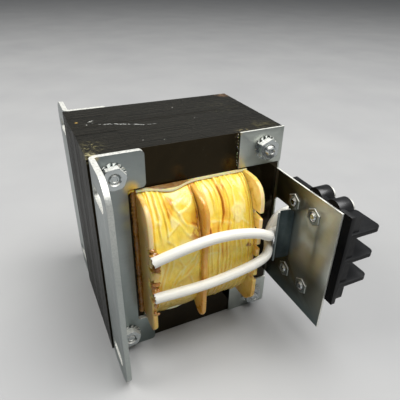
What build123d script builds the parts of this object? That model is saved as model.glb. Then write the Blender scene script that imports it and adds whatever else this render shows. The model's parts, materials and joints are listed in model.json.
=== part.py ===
# Small open-frame power transformer, standing on its long side.
# +Z up, +X away from the mounting foot, -Y toward the nut and lead side.
# Millimetres. Z = 0 is the level floor under the core and the brackets.
import math
import os

from build123d import *

os.makedirs("parts", exist_ok=True)

# ---------------------------------------------------------------- core
LAM_A = 38.1                 # centre leg width of the E lamination
CORE_W = 2.5 * LAM_A         # 95.25 along X
CORE_H = 3.0 * LAM_A         # 114.3 along Z
CORE_D = 61.0                # stack thickness along Y
LEG = LAM_A / 2              # outer legs and yokes, 19.05
WIN_L = 1.5 * LAM_A          # window length along X, 57.15
HOLE_IN = 9.5                # screw hole centre from each core edge
HOLE_D = 5.2
XL, XR = -CORE_W / 2, CORE_W / 2
YF, YB = -CORE_D / 2, CORE_D / 2
ZM = CORE_H / 2

# ---------------------------------------------------------------- hardware
SCREW_D = 4.8
NUT_AF = 9.5
NUT_T = 3.3
TOOTH_D = 10.4
TOOTH_T = 0.9
HEAD_AF = 9.5
HEAD_T = 3.2
PROUD = 1.6                  # screw end past the nut

# ---------------------------------------------------------------- foot brackets
BR_T = 2.4                   # plate thickness
BR_IN = 0.7                  # foot face inset from the core side
BR_R = 0.6                   # inside bend radius
FOOT_Y = 29.0                # foot reach from the core face
FOOT_R = 12.0                # foot outer corners
TAB_W = 23.1                 # tab width from the foot face
STRIP_W = 14.6               # strip between the tabs, from the foot face
TAB_H = 17.6
TAB_R = 2.2
SLOT_W = 7.0
SLOT_L = 17.0
SLOT_Z = 12.8                # slot centre from each end
SLOT_Y = 13.4                # slot centre from the core face

# ---------------------------------------------------------------- terminal bracket
TB_T = 0.95
EAR_W = 24.0
EAR_H = 18.4
PLATE_Z0, PLATE_Z1 = 23.0, 91.2
PLATE_Y = 48.7               # reach of the plate from the core face
SIDE_Y = 9.5                 # strip lying on the core side
WINDOW_Z0, WINDOW_Z1 = 46.0, 75.6
WINDOW_Y0, WINDOW_Y1 = 1.4, 17.6   # from the core face
TONGUE_Z0, TONGUE_Z1 = 47.2, 75.0
TONGUE = [(48.1, 0.0), (45.4, 0.03), (43.0, 0.45), (40.9, 0.95), (39.7, 0.9), (38.7, 0.25), (37.9, -0.9)]
EAR_BEND = 0.9               # outer radius where the ears turn onto the core side
INS_Y = (17.2, 32.4)         # clinch fastener columns from the core face
INS_Z = (37.5, 80.3)

# ---------------------------------------------------------------- bobbin and coil
FL_T = 2.0
FL_X = 28.3                  # outer face of the end flanges
FL_Y = (47.5, 49.5, 50.0)    # reach of the left, middle and right flange from the core centre plane
FL_Z0, FL_Z1 = 19.8, 94.5
MID_X = -1.5                 # centre of the middle flange
TUBE_T = 1.4
COIL_Y = 47.6
COIL_Z = 17.6                # winding build beyond the centre leg
BULGE_Z = 5.5                # half height of the flat stretch of the winding's front
SHEET_T = 0.5

# ---------------------------------------------------------------- terminal block
TBK_X0 = XR + TB_T           # seat on the bracket
TBK_Z0, TBK_Z1 = 42.2, 91.6
TBK_Y0, TBK_Y1 = -83.8, -43.0
TBK_BASE = 2.4               # thin base flange
TBK_BODY = 7.4               # raised body
TBK_ZM = (TBK_Z0 + TBK_Z1) / 2
POLE = 14.1
FIN_T = 2.2
FIN_X = 68.6
FIN_Y1 = -66.6               # rear end of the tall barriers
FIN_Z = (TBK_ZM - POLE, TBK_ZM, TBK_ZM + POLE)
POLE_Z = (TBK_ZM - 0.5 * POLE, TBK_ZM + 0.5 * POLE)
REAR_Y = -55.5               # behind this the raised body is lower
REAR_H = 17.1                # half height of the lower raised body
LOBE_Y = (-72.5, -60.3)
LOBE_Z = (89.0, 2 * TBK_ZM - 89.0)
LOBE_R = 5.0
LOBE_HEAD_R = 4.0            # screw heads on the lobe ends
LOBE_HEAD_T = 1.7
ROW_Y = (-75.5, -53.0)       # front and rear terminal screws

# ---------------------------------------------------------------- leads
LEAD_D = 5.0


def box(x0, x1, y0, y1, z0, z1):
    return Pos((x0 + x1) / 2, (y0 + y1) / 2, (z0 + z1) / 2) * Box(x1 - x0, y1 - y0, z1 - z0)


def ycyl(x, z, r, y0, y1):
    return Pos(x, (y0 + y1) / 2, z) * Rot(90, 0, 0) * Cylinder(r, abs(y1 - y0))


def xcyl(y, z, r, x0, x1):
    return Pos((x0 + x1) / 2, y, z) * Rot(0, 90, 0) * Cylinder(r, abs(x1 - x0))


def hexy(x, z, af, y0, y1, turn=0.0):
    """hexagonal prism along Y"""
    pl = Plane(origin=(x, min(y0, y1), z), x_dir=(1, 0, 0), z_dir=(0, 1, 0))
    sk = pl * (Rot(0, 0, turn) * RegularPolygon(af / 2, 6, major_radius=False))
    return extrude(sk, abs(y1 - y0))


def hexx(y, z, af, x0, x1, turn=0.0):
    """hexagonal prism along X"""
    pl = Plane(origin=(min(x0, x1), y, z), x_dir=(0, 1, 0), z_dir=(1, 0, 0))
    sk = pl * (Rot(0, 0, turn) * RegularPolygon(af / 2, 6, major_radius=False))
    return extrude(sk, abs(x1 - x0))


def one(s):
    """plain solid out of a boolean result"""
    return s


def save(name, *solids):
    out = []
    for s in solids:
        if isinstance(s, (list, tuple)) and not hasattr(s, "solids"):
            for t in s:
                out += list(t.solids())
        else:
            out += list(s.solids())
    c = out[0] if len(out) == 1 else Compound(children=out)
    export_step(c, f"parts/{name}.step")
    print(f"{name:28s} solids {len(out):2d}  volume {sum(s.volume for s in out):11.2f}")


HOLES = [(XL + HOLE_IN, HOLE_IN), (XL + HOLE_IN, CORE_H - HOLE_IN),
         (XR - HOLE_IN, HOLE_IN), (XR - HOLE_IN, CORE_H - HOLE_IN)]

# ================================================================ core stack
core = box(XL, XR, YF, YB, 0, CORE_H)
for z0 in (LEG, CORE_H - 2 * LEG):
    core -= box(-WIN_L / 2, WIN_L / 2, YF - 1, YB + 1, z0, z0 + LEG)
for x, z in HOLES:
    core -= ycyl(x, z, HOLE_D / 2, YF - 1, YB + 1)
save("core_stack", core)

# ================================================================ foot brackets


def foot_bracket(sgn):
    """sgn -1: nut side, +1: screw head side"""
    face = YF if sgn < 0 else YB
    x0 = XL + BR_IN
    yo = face + sgn * BR_T                      # outer face of the plate
    # plate lying on the core
    plate = box(x0 + BR_T + BR_R, x0 + TAB_W, min(face, yo), max(face, yo), 0, CORE_H)
    mid = box(x0 + STRIP_W, x0 + TAB_W + 5, min(face, yo) - 1, max(face, yo) + 1,
              TAB_H, CORE_H - TAB_H)
    plate -= mid
    ed = [e for e in plate.edges().filter_by(Axis.Y)
          if abs(e.center().X - (x0 + TAB_W)) < 0.01]
    plate = fillet(ed, TAB_R)
    ed = [e for e in plate.edges().filter_by(Axis.Y)
          if abs(e.center().X - (x0 + STRIP_W)) < 0.01]
    plate = fillet(ed, 1.5)
    # bend
    cy = yo + sgn * BR_R
    cx = x0 + BR_T + BR_R
    ring = Pos(cx, cy, ZM) * Cylinder(BR_T + BR_R, CORE_H) - Pos(cx, cy, ZM) * Cylinder(BR_R, CORE_H + 2)
    if sgn < 0:
        quad = box(cx - 10, cx, cy, cy + 10, -1, CORE_H + 1)
    else:
        quad = box(cx - 10, cx, cy - 10, cy, -1, CORE_H + 1)
    bend = ring & quad
    # foot flange
    fy = face + sgn * FOOT_Y
    foot = box(x0, x0 + BR_T, min(cy, fy), max(cy, fy), 0, CORE_H)
    ed = [e for e in foot.edges().filter_by(Axis.X) if abs(e.center().Y - fy) < 0.01]
    foot = fillet(ed, FOOT_R)
    for z in (SLOT_Z, CORE_H - SLOT_Z):
        yc = face + sgn * SLOT_Y
        pl = Plane(origin=(x0 - 1, yc, z), x_dir=(0, 1, 0), z_dir=(1, 0, 0))
        foot -= extrude(pl * SlotOverall(SLOT_L, SLOT_W), BR_T + 2)
    out = plate + bend + foot
    for x, z in HOLES[:2]:
        out -= ycyl(x, z, HOLE_D / 2, face - 5, face + 5)
    return out


save("front_foot_bracket", foot_bracket(-1))
save("rear_foot_bracket", foot_bracket(1))

# ================================================================ terminal bracket
xo = XR + TB_T
tb = box(XR, xo, YF - TB_T, YF + SIDE_Y, 0.8, CORE_H - 0.8)            # side strip
tb += box(XR, xo, YF - PLATE_Y, YF + SIDE_Y, PLATE_Z0, PLATE_Z1)        # terminal plate
for z0 in (0, CORE_H - EAR_H):
    tb += box(XR - EAR_W, xo, YF - TB_T, YF, z0, z0 + EAR_H)
# relief between ears and plate
for za, zb in ((EAR_H, PLATE_Z0), (PLATE_Z1, CORE_H - EAR_H)):
    tb -= box(XR - 1, xo + 1, YF - TB_T - 1, YF + 0.2, za, zb)
# wire window, its metal turned inward as a tongue
wy0, wy1 = YF - WINDOW_Y1, YF - WINDOW_Y0
win = box(XR - 1, xo + 1, wy0, wy1, WINDOW_Z0, WINDOW_Z1)
win = fillet(win.edges().filter_by(Axis.X), 3.2)
tb -= win
ty_ = wy0 - TB_T / 2
line = [Vector(x, ty_ + dy) for x, dy in TONGUE]
side_a, side_b = [], []
for i, q in enumerate(line):
    d = (line[min(i + 1, len(line) - 1)] - line[max(i - 1, 0)]).normalized()
    n = Vector(-d.Y, d.X) * (TB_T / 2)
    side_a.append(q + n)
    side_b.append(q - n)
side_a[0], side_b[0] = Vector(xo, ty_ - TB_T / 2), Vector(xo, ty_ + TB_T / 2)
outline = [(q.X, q.Y) for q in side_a + side_b[::-1]]
tongue = extrude(Plane(origin=(0, 0, TONGUE_Z0)) * Polygon(*outline, align=None), TONGUE_Z1 - TONGUE_Z0, dir=(0, 0, 1))
tb += tongue
tb = fillet([e for e in tb.edges().filter_by(Axis.Z)
             if abs(e.center().X - xo) < 0.01 and abs(e.center().Y - YF + TB_T) < 0.01
             and not PLATE_Z0 < e.center().Z < PLATE_Z1], EAR_BEND)
for x, z in HOLES[2:]:
    tb -= ycyl(x, z, HOLE_D / 2, YF - 5, YF + 0.01)
for y in INS_Y:
    for z in INS_Z:
        tb -= hexx(YF - y, z, 7.1, XR - 1, xo + 1)
save("terminal_bracket", tb)

# ================================================================ clinch fasteners and block screws
ins = []
for y in INS_Y:
    for z in INS_Z:
        h = hexx(YF - y, z, 7.1, XR - 0.15, xo)
        h -= xcyl(YF - y, z, 2.0, XR - 2, xo + 2)
        ins.append(h)
save("clinch_nuts", *ins)

# ================================================================ core screws, nuts, washers
screws, nuts, teeth, rwash = [], [], [], []
for i, (x, z) in enumerate(HOLES):
    left = x < 0
    f = YF - (BR_T if left else TB_T)
    b = YB + (BR_T if left else 1.0)
    tip = f - TOOTH_T - NUT_T - PROUD
    s = ycyl(x, z, SCREW_D / 2, tip, b) + hexy(x, z, HEAD_AF, b, b + HEAD_T, 30 + 6 * i)
    s = chamfer([e for e in s.edges().filter_by(GeomType.CIRCLE) if abs(e.center().Y - tip) < 0.01], 0.5)
    screws.append(s)
    teeth.append(ycyl(x, z, TOOTH_D / 2, f - TOOTH_T, f) - ycyl(x, z, SCREW_D / 2 + 0.1, f - 5, f + 5))
    n = hexy(x, z, NUT_AF, f - TOOTH_T - NUT_T, f - TOOTH_T, 10 + 23 * i)
    n = n & ycyl(x, z, NUT_AF / 2 * 1.1, f - TOOTH_T - NUT_T, f - TOOTH_T)
    n -= ycyl(x, z, SCREW_D / 2 + 0.05, f - 9, f + 5)
    nuts.append(n)
    if not left:
        rwash.append(ycyl(x, z, 5.6, YB, YB + 1.0) - ycyl(x, z, SCREW_D / 2 + 0.1, YB - 1, YB + 2))
save("core_screws", *screws)
save("tooth_washers", *teeth)
save("keps_nuts", *nuts)
save("rear_flat_washers", *rwash)

# ================================================================ bobbin
cz0, cz1 = 2 * LEG, CORE_H - 2 * LEG        # centre leg
clr = 0.3
tube = box(-FL_X, FL_X, YF - clr - TUBE_T, YB + clr + TUBE_T, cz0 - clr - TUBE_T, cz1 + clr + TUBE_T)
tube -= box(-FL_X - 1, FL_X + 1, YF - clr, YB + clr, cz0 - clr, cz1 + clr)
save("bobbin_tube", tube)
ty, tz0, tz1 = YB + clr + TUBE_T, cz0 - clr - TUBE_T, cz1 + clr + TUBE_T


def flange(x0, x1, reach, cuts=()):
    f = box(x0, x1, -reach, reach, FL_Z0, FL_Z1)
    f = fillet([e for e in f.edges().filter_by(Axis.X)], 9.0)
    f -= box(x0 - 1, x1 + 1, -ty, ty, tz0, tz1)
    for za, zb, d in cuts:
        f -= box(x0 - 1, x1 + 1, -reach - 1, -reach + d, za, zb)
    return f


save("bobbin_flange_left", flange(-FL_X, -FL_X + FL_T, FL_Y[0]))
save("bobbin_flange_middle", flange(MID_X - FL_T / 2, MID_X + FL_T / 2, FL_Y[1]))
save("bobbin_flange_right", flange(FL_X - FL_T, FL_X, FL_Y[2], ((76.0, 79.0, 3.0), (66.0, 71.0, 3.0), (57.5, 58.8, 3.0), (50.0, 52.0, 3.0), (34.0, 43.0, 3.0))))


def winding(x0, x1):
    a, b = COIL_Y - YB, LEG + COIL_Z - BULGE_Z       # half axes of the bulge at each corner
    pts = []
    for sy, sz, up in ((1, 1, 1), (1, -1, 0), (-1, -1, 1), (-1, 1, 0)):
        for k in range(13):
            t = math.radians(90 * ((12 - k) if up else k) / 12)
            pts.append((sy * (YB + a * math.cos(t)), ZM + sz * (BULGE_Z + b * math.sin(t))))
    pl = Plane(origin=(x0, 0, 0), x_dir=(0, 1, 0), z_dir=(1, 0, 0))
    w = extrude(pl * Polygon(*pts, align=None), x1 - x0, dir=(1, 0, 0))
    w -= box(x0 - 1, x1 + 1, -ty, ty, tz0, tz1)
    return w


save("winding_left", winding(-FL_X + FL_T, MID_X - FL_T / 2))
save("winding_right", winding(MID_X + FL_T / 2, FL_X - FL_T))

# insulation sheets between coil and outer legs
save("upper_slot_sheet", box(-28.2, 28.2, YF - 2.6, YB + 2.6, CORE_H - LEG - 0.05 - SHEET_T, CORE_H - LEG - 0.05))
save("lower_slot_sheet", box(-28.2, 28.2, YF - 2.6, YB + 2.6, LEG + 0.05, LEG + 0.05 + SHEET_T))

# ================================================================ terminal block
xb, xt = TBK_X0 + TBK_BASE, TBK_X0 + TBK_BODY
bk = box(TBK_X0, xb, TBK_Y0, TBK_Y1, TBK_Z0, TBK_Z1)
bk += box(xb, xt, TBK_Y0 + 1.2, REAR_Y, TBK_Z0 + 1.4, TBK_Z1 - 1.4)
bk += box(xb, xt, REAR_Y - 1, TBK_Y1 - 1.2, TBK_ZM - REAR_H, TBK_ZM + REAR_H)
for y in LOBE_Y:
    for z in LOBE_Z:
        bk += xcyl(y, z, LOBE_R, TBK_X0, xt)
for y in INS_Y:                                   # lower mounting ears
    bk += xcyl(YF - y, INS_Z[0], 5.4, TBK_X0, TBK_X0 + 4.0)
    bk += box(TBK_X0, TBK_X0 + 4.0, YF - y - 5.4, YF - y + 5.4, INS_Z[0], TBK_Z0 + 1)
for z in FIN_Z:
    fin = box(TBK_X0 + 1, FIN_X, TBK_Y0, FIN_Y1, z - FIN_T / 2, z + FIN_T / 2)
    fin = fillet([e for e in fin.edges().filter_by(Axis.Z) if e.center().X > FIN_X - 1], 3.0)
    bk += fin
    bk += box(TBK_X0 + 1, xt + 2.0, FIN_Y1 - 1, TBK_Y1 - 1.2, z - FIN_T / 2, z + FIN_T / 2)
# screw holes and head wells
for y in INS_Y:
    for z in INS_Z:
        bk -= xcyl(YF - y, z, 2.15, TBK_X0 - 1, TBK_X0 + 60)
        bk -= xcyl(YF - y, z, 4.2, TBK_X0 + 4.0, TBK_X0 + 60)
for z in POLE_Z:
    for y in ROW_Y:
        bk -= xcyl(y, z, 2.2, xt - 5.0, xt + 1)
for y in LOBE_Y:
    for z in LOBE_Z:
        bk -= xcyl(y, z, 2.1, TBK_X0 + 0.8, xt + 1)
save("terminal_block", bk)

# block screws from the outer side into the clinch nuts
scr = []
for y in INS_Y:
    for z in INS_Z:
        q = xcyl(YF - y, z, 1.95, XR - 1.6, TBK_X0 + 4.0) + xcyl(YF - y, z, 3.6, TBK_X0 + 4.0, TBK_X0 + 6.2)
        q -= box(TBK_X0 + 5.2, TBK_X0 + 7, YF - y - 4, YF - y + 4, z - 0.5, z + 0.5)
        scr.append(q)
save("block_screws", *scr)

# terminal bars and screws
bars, ts = [], []
for z in POLE_Z:
    hw = 4.2
    bar = box(xt, xt + 1.0, -80.5, -48.2, z - hw, z + hw)
    for y in ROW_Y:
        bar -= xcyl(y, z, 2.05, xt - 1, xt + 3)
    for y in INS_Y:
        for zz in INS_Z:
            bar -= xcyl(YF - y, zz, 4.3, xt - 1, xt + 3)
    bars.append(bar)
    for y in ROW_Y:
        q = xcyl(y, z, 1.95, xt - 4.5, xt + 1.9) + xcyl(y, z, 3.7, xt + 1.9, xt + 4.1)
        q -= box(xt + 3.2, xt + 5, y - 4.5, y + 4.5, z - 0.55, z + 0.55)
        ts.append(q)
save("terminal_bars", *bars)
save("terminal_screws", *ts)

# screws in the end lobes
rs = []
for y in LOBE_Y:
    for z in LOBE_Z:
        q = xcyl(y, z, 1.9, TBK_X0 + 1.0, xt) + xcyl(y, z, LOBE_HEAD_R, xt, xt + LOBE_HEAD_T)
        q -= box(xt + LOBE_HEAD_T - 0.9, xt + LOBE_HEAD_T + 1, y - 5, y + 5, z - 0.5, z + 0.5)
        rs.append(q)
save("lobe_screws", *rs)

# ================================================================ leads
LEAD_R = LEAD_D / 2


def route(pts):
    """straight runs joined by tangent arcs, each as large as its shorter run allows"""
    v = [Vector(*p) for p in pts]
    rad = []
    for i in range(1, len(v) - 1):
        u, w = v[i] - v[i - 1], v[i + 1] - v[i]
        t = math.radians(u.get_angle(w))
        rad.append(0.45 * min(u.length, w.length) / math.tan(t / 2))
    return FilletPolyline(*v, radius=rad), rad


def lead(name, pts):
    path, rad = route(pts)
    pl = Plane(origin=path @ 0, z_dir=path % 0)
    body = sweep(pl * Circle(LEAD_R), path=path)
    tube = body
    save(name, tube)
    print("   length %.1f  radii %s  volume/section %.1f" % (
        path.length, " ".join("%.1f" % r for r in rad), tube.volume / (math.pi * LEAD_R ** 2)))
    return path, tube


yl = -FL_Y[2] - LEAD_R - 0.15
UPPER = [(-27.5, -50.3, 68.1), (-6, -52.5, 73.3), (11, yl - 0.1, 73.2), (29.8, yl - 0.5, 68.6),
         (36.0, -45.5, 63.2), (44.6, -41.0, 61.2), (52.2, -37.2, 60.2), (58.0, -38.2, 59.85), (61.0, -42.6, 59.85),
         (61.0, -47.6, 59.85)]
LOWER = [(-27.5, -50.3, 46.7), (-10, -52.4, 47.3), (9, yl - 0.1, 48.6), (30.2, yl - 0.3, 52.8),
         (36.2, -45.6, 54.0), (41.2, -37.0, 56.0), (45.0, -34.6, 66.4), (51.6, -34.8, 72.0), (58.2, -36.8, 73.95),
         (61.0, -41.8, 73.95), (61.0, -47.6, 73.95)]
pu, su = lead("upper_lead", UPPER)
plw, sl = lead("lower_lead", LOWER)
print("gap between leads %.2f" % su.distance_to(sl))

# ring terminals at the lead ends
rings = []
for z in (TBK_ZM - 0.5 * POLE, TBK_ZM + 0.5 * POLE):
    r = xcyl(ROW_Y[1], z, 3.6, xt + 1.05, xt + 1.85) + box(xt + 1.05, xt + 1.85, ROW_Y[1], -47.7, z - 1.6, z + 1.6)
    r += box(xt + 1.05, 62.4, -48.65, -47.7, z - 1.6, z + 1.6)
    r -= xcyl(ROW_Y[1], z, 2.05, xt, xt + 3)
    rings.append(r)
save("ring_terminals", *rings)
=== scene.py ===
import json
import math
import random

import bmesh
import bpy
import numpy as np
from mathutils import Matrix, Vector, noise

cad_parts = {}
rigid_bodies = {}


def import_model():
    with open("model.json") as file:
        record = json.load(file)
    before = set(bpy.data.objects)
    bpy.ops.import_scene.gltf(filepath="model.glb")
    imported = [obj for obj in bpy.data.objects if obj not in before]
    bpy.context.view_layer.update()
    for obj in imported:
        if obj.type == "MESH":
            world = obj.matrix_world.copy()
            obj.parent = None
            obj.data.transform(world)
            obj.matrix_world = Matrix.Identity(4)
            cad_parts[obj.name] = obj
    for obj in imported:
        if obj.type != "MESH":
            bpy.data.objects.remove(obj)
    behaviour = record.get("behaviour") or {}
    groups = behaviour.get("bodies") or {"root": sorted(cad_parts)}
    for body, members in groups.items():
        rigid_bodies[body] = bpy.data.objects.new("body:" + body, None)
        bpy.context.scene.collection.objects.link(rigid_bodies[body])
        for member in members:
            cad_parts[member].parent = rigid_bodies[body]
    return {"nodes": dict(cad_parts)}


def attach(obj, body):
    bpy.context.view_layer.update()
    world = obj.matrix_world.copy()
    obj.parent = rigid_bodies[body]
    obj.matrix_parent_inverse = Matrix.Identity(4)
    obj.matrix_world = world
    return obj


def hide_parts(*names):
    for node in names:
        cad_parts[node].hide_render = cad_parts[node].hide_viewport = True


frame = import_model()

scene = bpy.context.scene
NODES = frame["nodes"]
MM = 0.001
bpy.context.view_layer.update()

for o in list(bpy.data.objects):
    if o.type in ("CAMERA", "LIGHT") or (o.type == "MESH" and o.name in ("Cube",)):
        bpy.data.objects.remove(o)

# ------------------------------------------------------------------ camera
YAW, PITCH, ROLL = 0.447358, 0.533654, 0.02052
fwd = Vector((math.sin(YAW) * math.cos(PITCH), math.cos(YAW) * math.cos(PITCH), -math.sin(PITCH)))
right = Vector((math.cos(YAW), -math.sin(YAW), 0))
up = right.cross(fwd)
r2 = math.cos(ROLL) * right + math.sin(ROLL) * up
u2 = -math.sin(ROLL) * right + math.cos(ROLL) * up
cam_data = bpy.data.cameras.new("camera")
cam = bpy.data.objects.new("camera", cam_data)
scene.collection.objects.link(cam)
m = Matrix((r2, u2, -fwd)).transposed().to_4x4()
m.translation = Vector((-68.320, -181.802, 180.836)) * MM
cam.matrix_world = m
cam_data.sensor_width = 36.0
cam_data.lens = 36.0 * 397.0324 / 400.0
cam_data.shift_x = -(201.151 - 200.0) / 400.0
cam_data.shift_y = (200.596 - 200.0) / 400.0
cam_data.clip_start = 0.005
cam_data.clip_end = 20.0
scene.camera = cam


# ------------------------------------------------------------------ material helper
class Mat:
    def __init__(self, name):
        self.m = bpy.data.materials.new(name)
        self.m.use_nodes = True
        self.t = self.m.node_tree
        self.n = self.t.nodes
        self.n.clear()
        self.out = self.n.new("ShaderNodeOutputMaterial")
        self.b = self.n.new("ShaderNodeBsdfPrincipled")
        self.t.links.new(self.b.outputs[0], self.out.inputs[0])
        self.tc = self.n.new("ShaderNodeTexCoord")
        self.co = self.tc.outputs["Object"]
        self.uv = self.tc.outputs["UV"]
        self.geo = self.n.new("ShaderNodeNewGeometry")

    def put(self, sock, v):
        if isinstance(v, bpy.types.NodeSocket):
            self.t.links.new(v, sock)
        elif isinstance(v, (tuple, list)) and len(v) == 3 and sock.type == "RGBA":
            sock.default_value = (*v, 1.0)
        else:
            sock.default_value = v

    def set(self, **kw):
        for k, v in kw.items():
            self.put(self.b.inputs[k.replace("_", " ")], v)
        return self

    def map(self, scale=(1, 1, 1), loc=(0, 0, 0), rot=(0, 0, 0), src=None):
        n = self.n.new("ShaderNodeMapping")
        self.put(n.inputs["Vector"], src or self.co)
        n.inputs["Scale"].default_value = scale
        n.inputs["Location"].default_value = loc
        n.inputs["Rotation"].default_value = rot
        return n.outputs[0]

    def noise(self, scale, detail=3.0, rough=0.55, dist=0.0, vec=None, out="Fac"):
        n = self.n.new("ShaderNodeTexNoise")
        self.put(n.inputs["Vector"], vec or self.co)
        n.inputs["Scale"].default_value = scale
        n.inputs["Detail"].default_value = detail
        n.inputs["Roughness"].default_value = rough
        n.inputs["Distortion"].default_value = dist
        return n.outputs[out]

    def voro(self, scale, vec=None, feature="F1", out="Distance"):
        n = self.n.new("ShaderNodeTexVoronoi")
        n.feature = feature
        self.put(n.inputs["Vector"], vec or self.co)
        n.inputs["Scale"].default_value = scale
        return n.outputs[out]

    def ramp(self, fac, stops, interp="LINEAR"):
        n = self.n.new("ShaderNodeValToRGB")
        cr = n.color_ramp
        cr.interpolation = interp
        while len(cr.elements) < len(stops):
            cr.elements.new(0.5)
        for e, (p, c) in zip(cr.elements, stops):
            e.position = p
            e.color = (*c, 1.0) if isinstance(c, (tuple, list)) else (c, c, c, 1.0)
        self.put(n.inputs[0], fac)
        return n.outputs[0]

    def mix(self, fac, a, b, mode="MIX"):
        n = self.n.new("ShaderNodeMix")
        n.data_type = "RGBA"
        n.blend_type = mode
        self.put(n.inputs[0], fac)
        self.put(n.inputs[6], a)
        self.put(n.inputs[7], b)
        return n.outputs[2]

    def math(self, op, a, b=0.0, c=0.0, clamp=False):
        n = self.n.new("ShaderNodeMath")
        n.operation = op
        n.use_clamp = clamp
        self.put(n.inputs[0], a)
        self.put(n.inputs[1], b)
        self.put(n.inputs[2], c)
        return n.outputs[0]

    def rng(self, v, a, b, c=0.0, d=1.0, smooth=False):
        n = self.n.new("ShaderNodeMapRange")
        n.interpolation_type = "SMOOTHSTEP" if smooth else "LINEAR"
        self.put(n.inputs["Value"], v)
        n.inputs["From Min"].default_value = a
        n.inputs["From Max"].default_value = b
        n.inputs["To Min"].default_value = c
        n.inputs["To Max"].default_value = d
        return n.outputs[0]

    def sep(self, v):
        n = self.n.new("ShaderNodeSeparateXYZ")
        self.put(n.inputs[0], v)
        return n.outputs

    def near(self, p, r0, r1, vec=None):
        """1 within r0 mm of the point p (mm), 0 beyond r1"""
        n = self.n.new("ShaderNodeVectorMath")
        n.operation = "DISTANCE"
        self.put(n.inputs[0], vec or self.co)
        n.inputs[1].default_value = Vector(p) * MM
        return self.rng(n.outputs["Value"], r0 * MM, r1 * MM, 1.0, 0.0, True)

    def attr(self, name):
        n = self.n.new("ShaderNodeAttribute")
        n.attribute_name = name
        return n.outputs["Fac"]

    def bump(self, height, strength=0.3, dist=0.0002, normal=None):
        n = self.n.new("ShaderNodeBump")
        n.inputs["Strength"].default_value = strength
        n.inputs["Distance"].default_value = dist
        self.put(n.inputs["Height"], height)
        if normal is not None:
            self.put(n.inputs["Normal"], normal)
        return n.outputs[0]


# ------------------------------------------------------------------ object helpers
def add(name, data, mat, ride=True):
    o = bpy.data.objects.new(name, data)
    scene.collection.objects.link(o)
    data.materials.clear()
    data.materials.append(mat.m if isinstance(mat, Mat) else mat)
    if ride:
        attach(o, "root")
    return o


def sharpen(me, angle=32.0):
    bm = bmesh.new()
    bm.from_mesh(me)
    lim = math.radians(angle)
    for f in bm.faces:
        f.smooth = True
    for e in bm.edges:
        e.smooth = not (len(e.link_faces) == 2 and e.calc_face_angle(0.0) > lim)
    bm.to_mesh(me)
    bm.free()
    me.update()


def bm_to(name, bm, mat, angle=32.0):
    me = bpy.data.meshes.new(name)
    bmesh.ops.recalc_face_normals(bm, faces=bm.faces)
    bm.to_mesh(me)
    bm.free()
    sharpen(me, angle)
    return add(name, me, mat)


def dressed(node, mat, width=0.2, seg=2, angle=28.0, name=None, keep=None):
    """The CAD node's own shape with its edges rounded"""
    src = NODES[node]
    bm = bmesh.new()
    bm.from_mesh(src.data)
    bmesh.ops.remove_doubles(bm, verts=bm.verts, dist=2e-6)
    bmesh.ops.dissolve_limit(bm, angle_limit=math.radians(1.0), verts=bm.verts, edges=bm.edges)
    lim = math.radians(angle)
    geom = [e for e in bm.edges if len(e.link_faces) == 2 and e.calc_face_angle(0.0) > lim]
    if keep:
        geom = [e for e in geom if keep(e)]
    bmesh.ops.bevel(bm, geom=geom, offset=width * MM, offset_type="OFFSET", segments=seg, profile=0.5,
                    affect="EDGES", clamp_overlap=True, harden_normals=False)
    o = bm_to(name or node + "_v", bm, mat, angle=40.0)
    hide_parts(node)
    return o


def plate_x(name, loops, x0, x1, bevel, mat, seg=3):
    """A flat plate between x0 and x1 from loops of (Y, Z) in mm, the first the outline and the rest holes"""
    cu = bpy.data.curves.new(name, "CURVE")
    cu.dimensions = "2D"
    cu.fill_mode = "BOTH"
    for lp in loops:
        sp = cu.splines.new("POLY")
        sp.points.add(len(lp) - 1)
        for p, (y, z) in zip(sp.points, lp):
            p.co = (y * MM, z * MM, 0, 1)
        sp.use_cyclic_u = True
    half = abs(x1 - x0) / 2
    cu.extrude = (half - bevel) * MM
    cu.bevel_depth = bevel * MM
    cu.bevel_resolution = seg
    cu.offset = -bevel * MM
    tmp = bpy.data.objects.new(name + "_tmp", cu)
    scene.collection.objects.link(tmp)
    me = bpy.data.meshes.new_from_object(tmp.evaluated_get(bpy.context.evaluated_depsgraph_get()))
    bpy.data.objects.remove(tmp)
    me.transform(Matrix(((0, 0, 1, (x0 + x1) / 2 * MM), (1, 0, 0, 0), (0, 1, 0, 0), (0, 0, 0, 1))))
    bm = bmesh.new()
    bm.from_mesh(me)
    bmesh.ops.remove_doubles(bm, verts=bm.verts, dist=2e-6)
    bmesh.ops.triangulate(bm, faces=[f for f in bm.faces if len(f.verts) > 4])
    me2 = bpy.data.meshes.new(name)
    bmesh.ops.recalc_face_normals(bm, faces=bm.faces)
    bm.to_mesh(me2)
    bm.free()
    sharpen(me2, 50.0)
    return add(name, me2, mat)


def arc(cy, cz, r, a0, a1, n=8):
    return [(cy + r * math.cos(math.radians(a0 + (a1 - a0) * i / n)),
             cz + r * math.sin(math.radians(a0 + (a1 - a0) * i / n))) for i in range(n + 1)]


def round_poly(pts, radii, n=5):
    """corners of a closed polygon rounded, radii in mm"""
    out = []
    k = len(pts)
    for i in range(k):
        p, a, b = Vector(pts[i]), Vector(pts[i - 1]), Vector(pts[(i + 1) % k])
        r = radii[i] if isinstance(radii, (list, tuple)) else radii
        u, w = (a - p), (b - p)
        lu, lw = u.length, w.length
        u.normalize()
        w.normalize()
        ang = u.angle(w)
        if r <= 0.01 or ang > math.radians(176):
            out.append(tuple(p))
            continue
        t = min(r / math.tan(ang / 2), 0.48 * lu, 0.48 * lw)
        for j in range(n + 1):
            s = j / n
            q = (1 - s) ** 2 * (p + u * t) + 2 * s * (1 - s) * p + s * s * (p + w * t)
            out.append((q.x, q.y))
    return out


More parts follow.
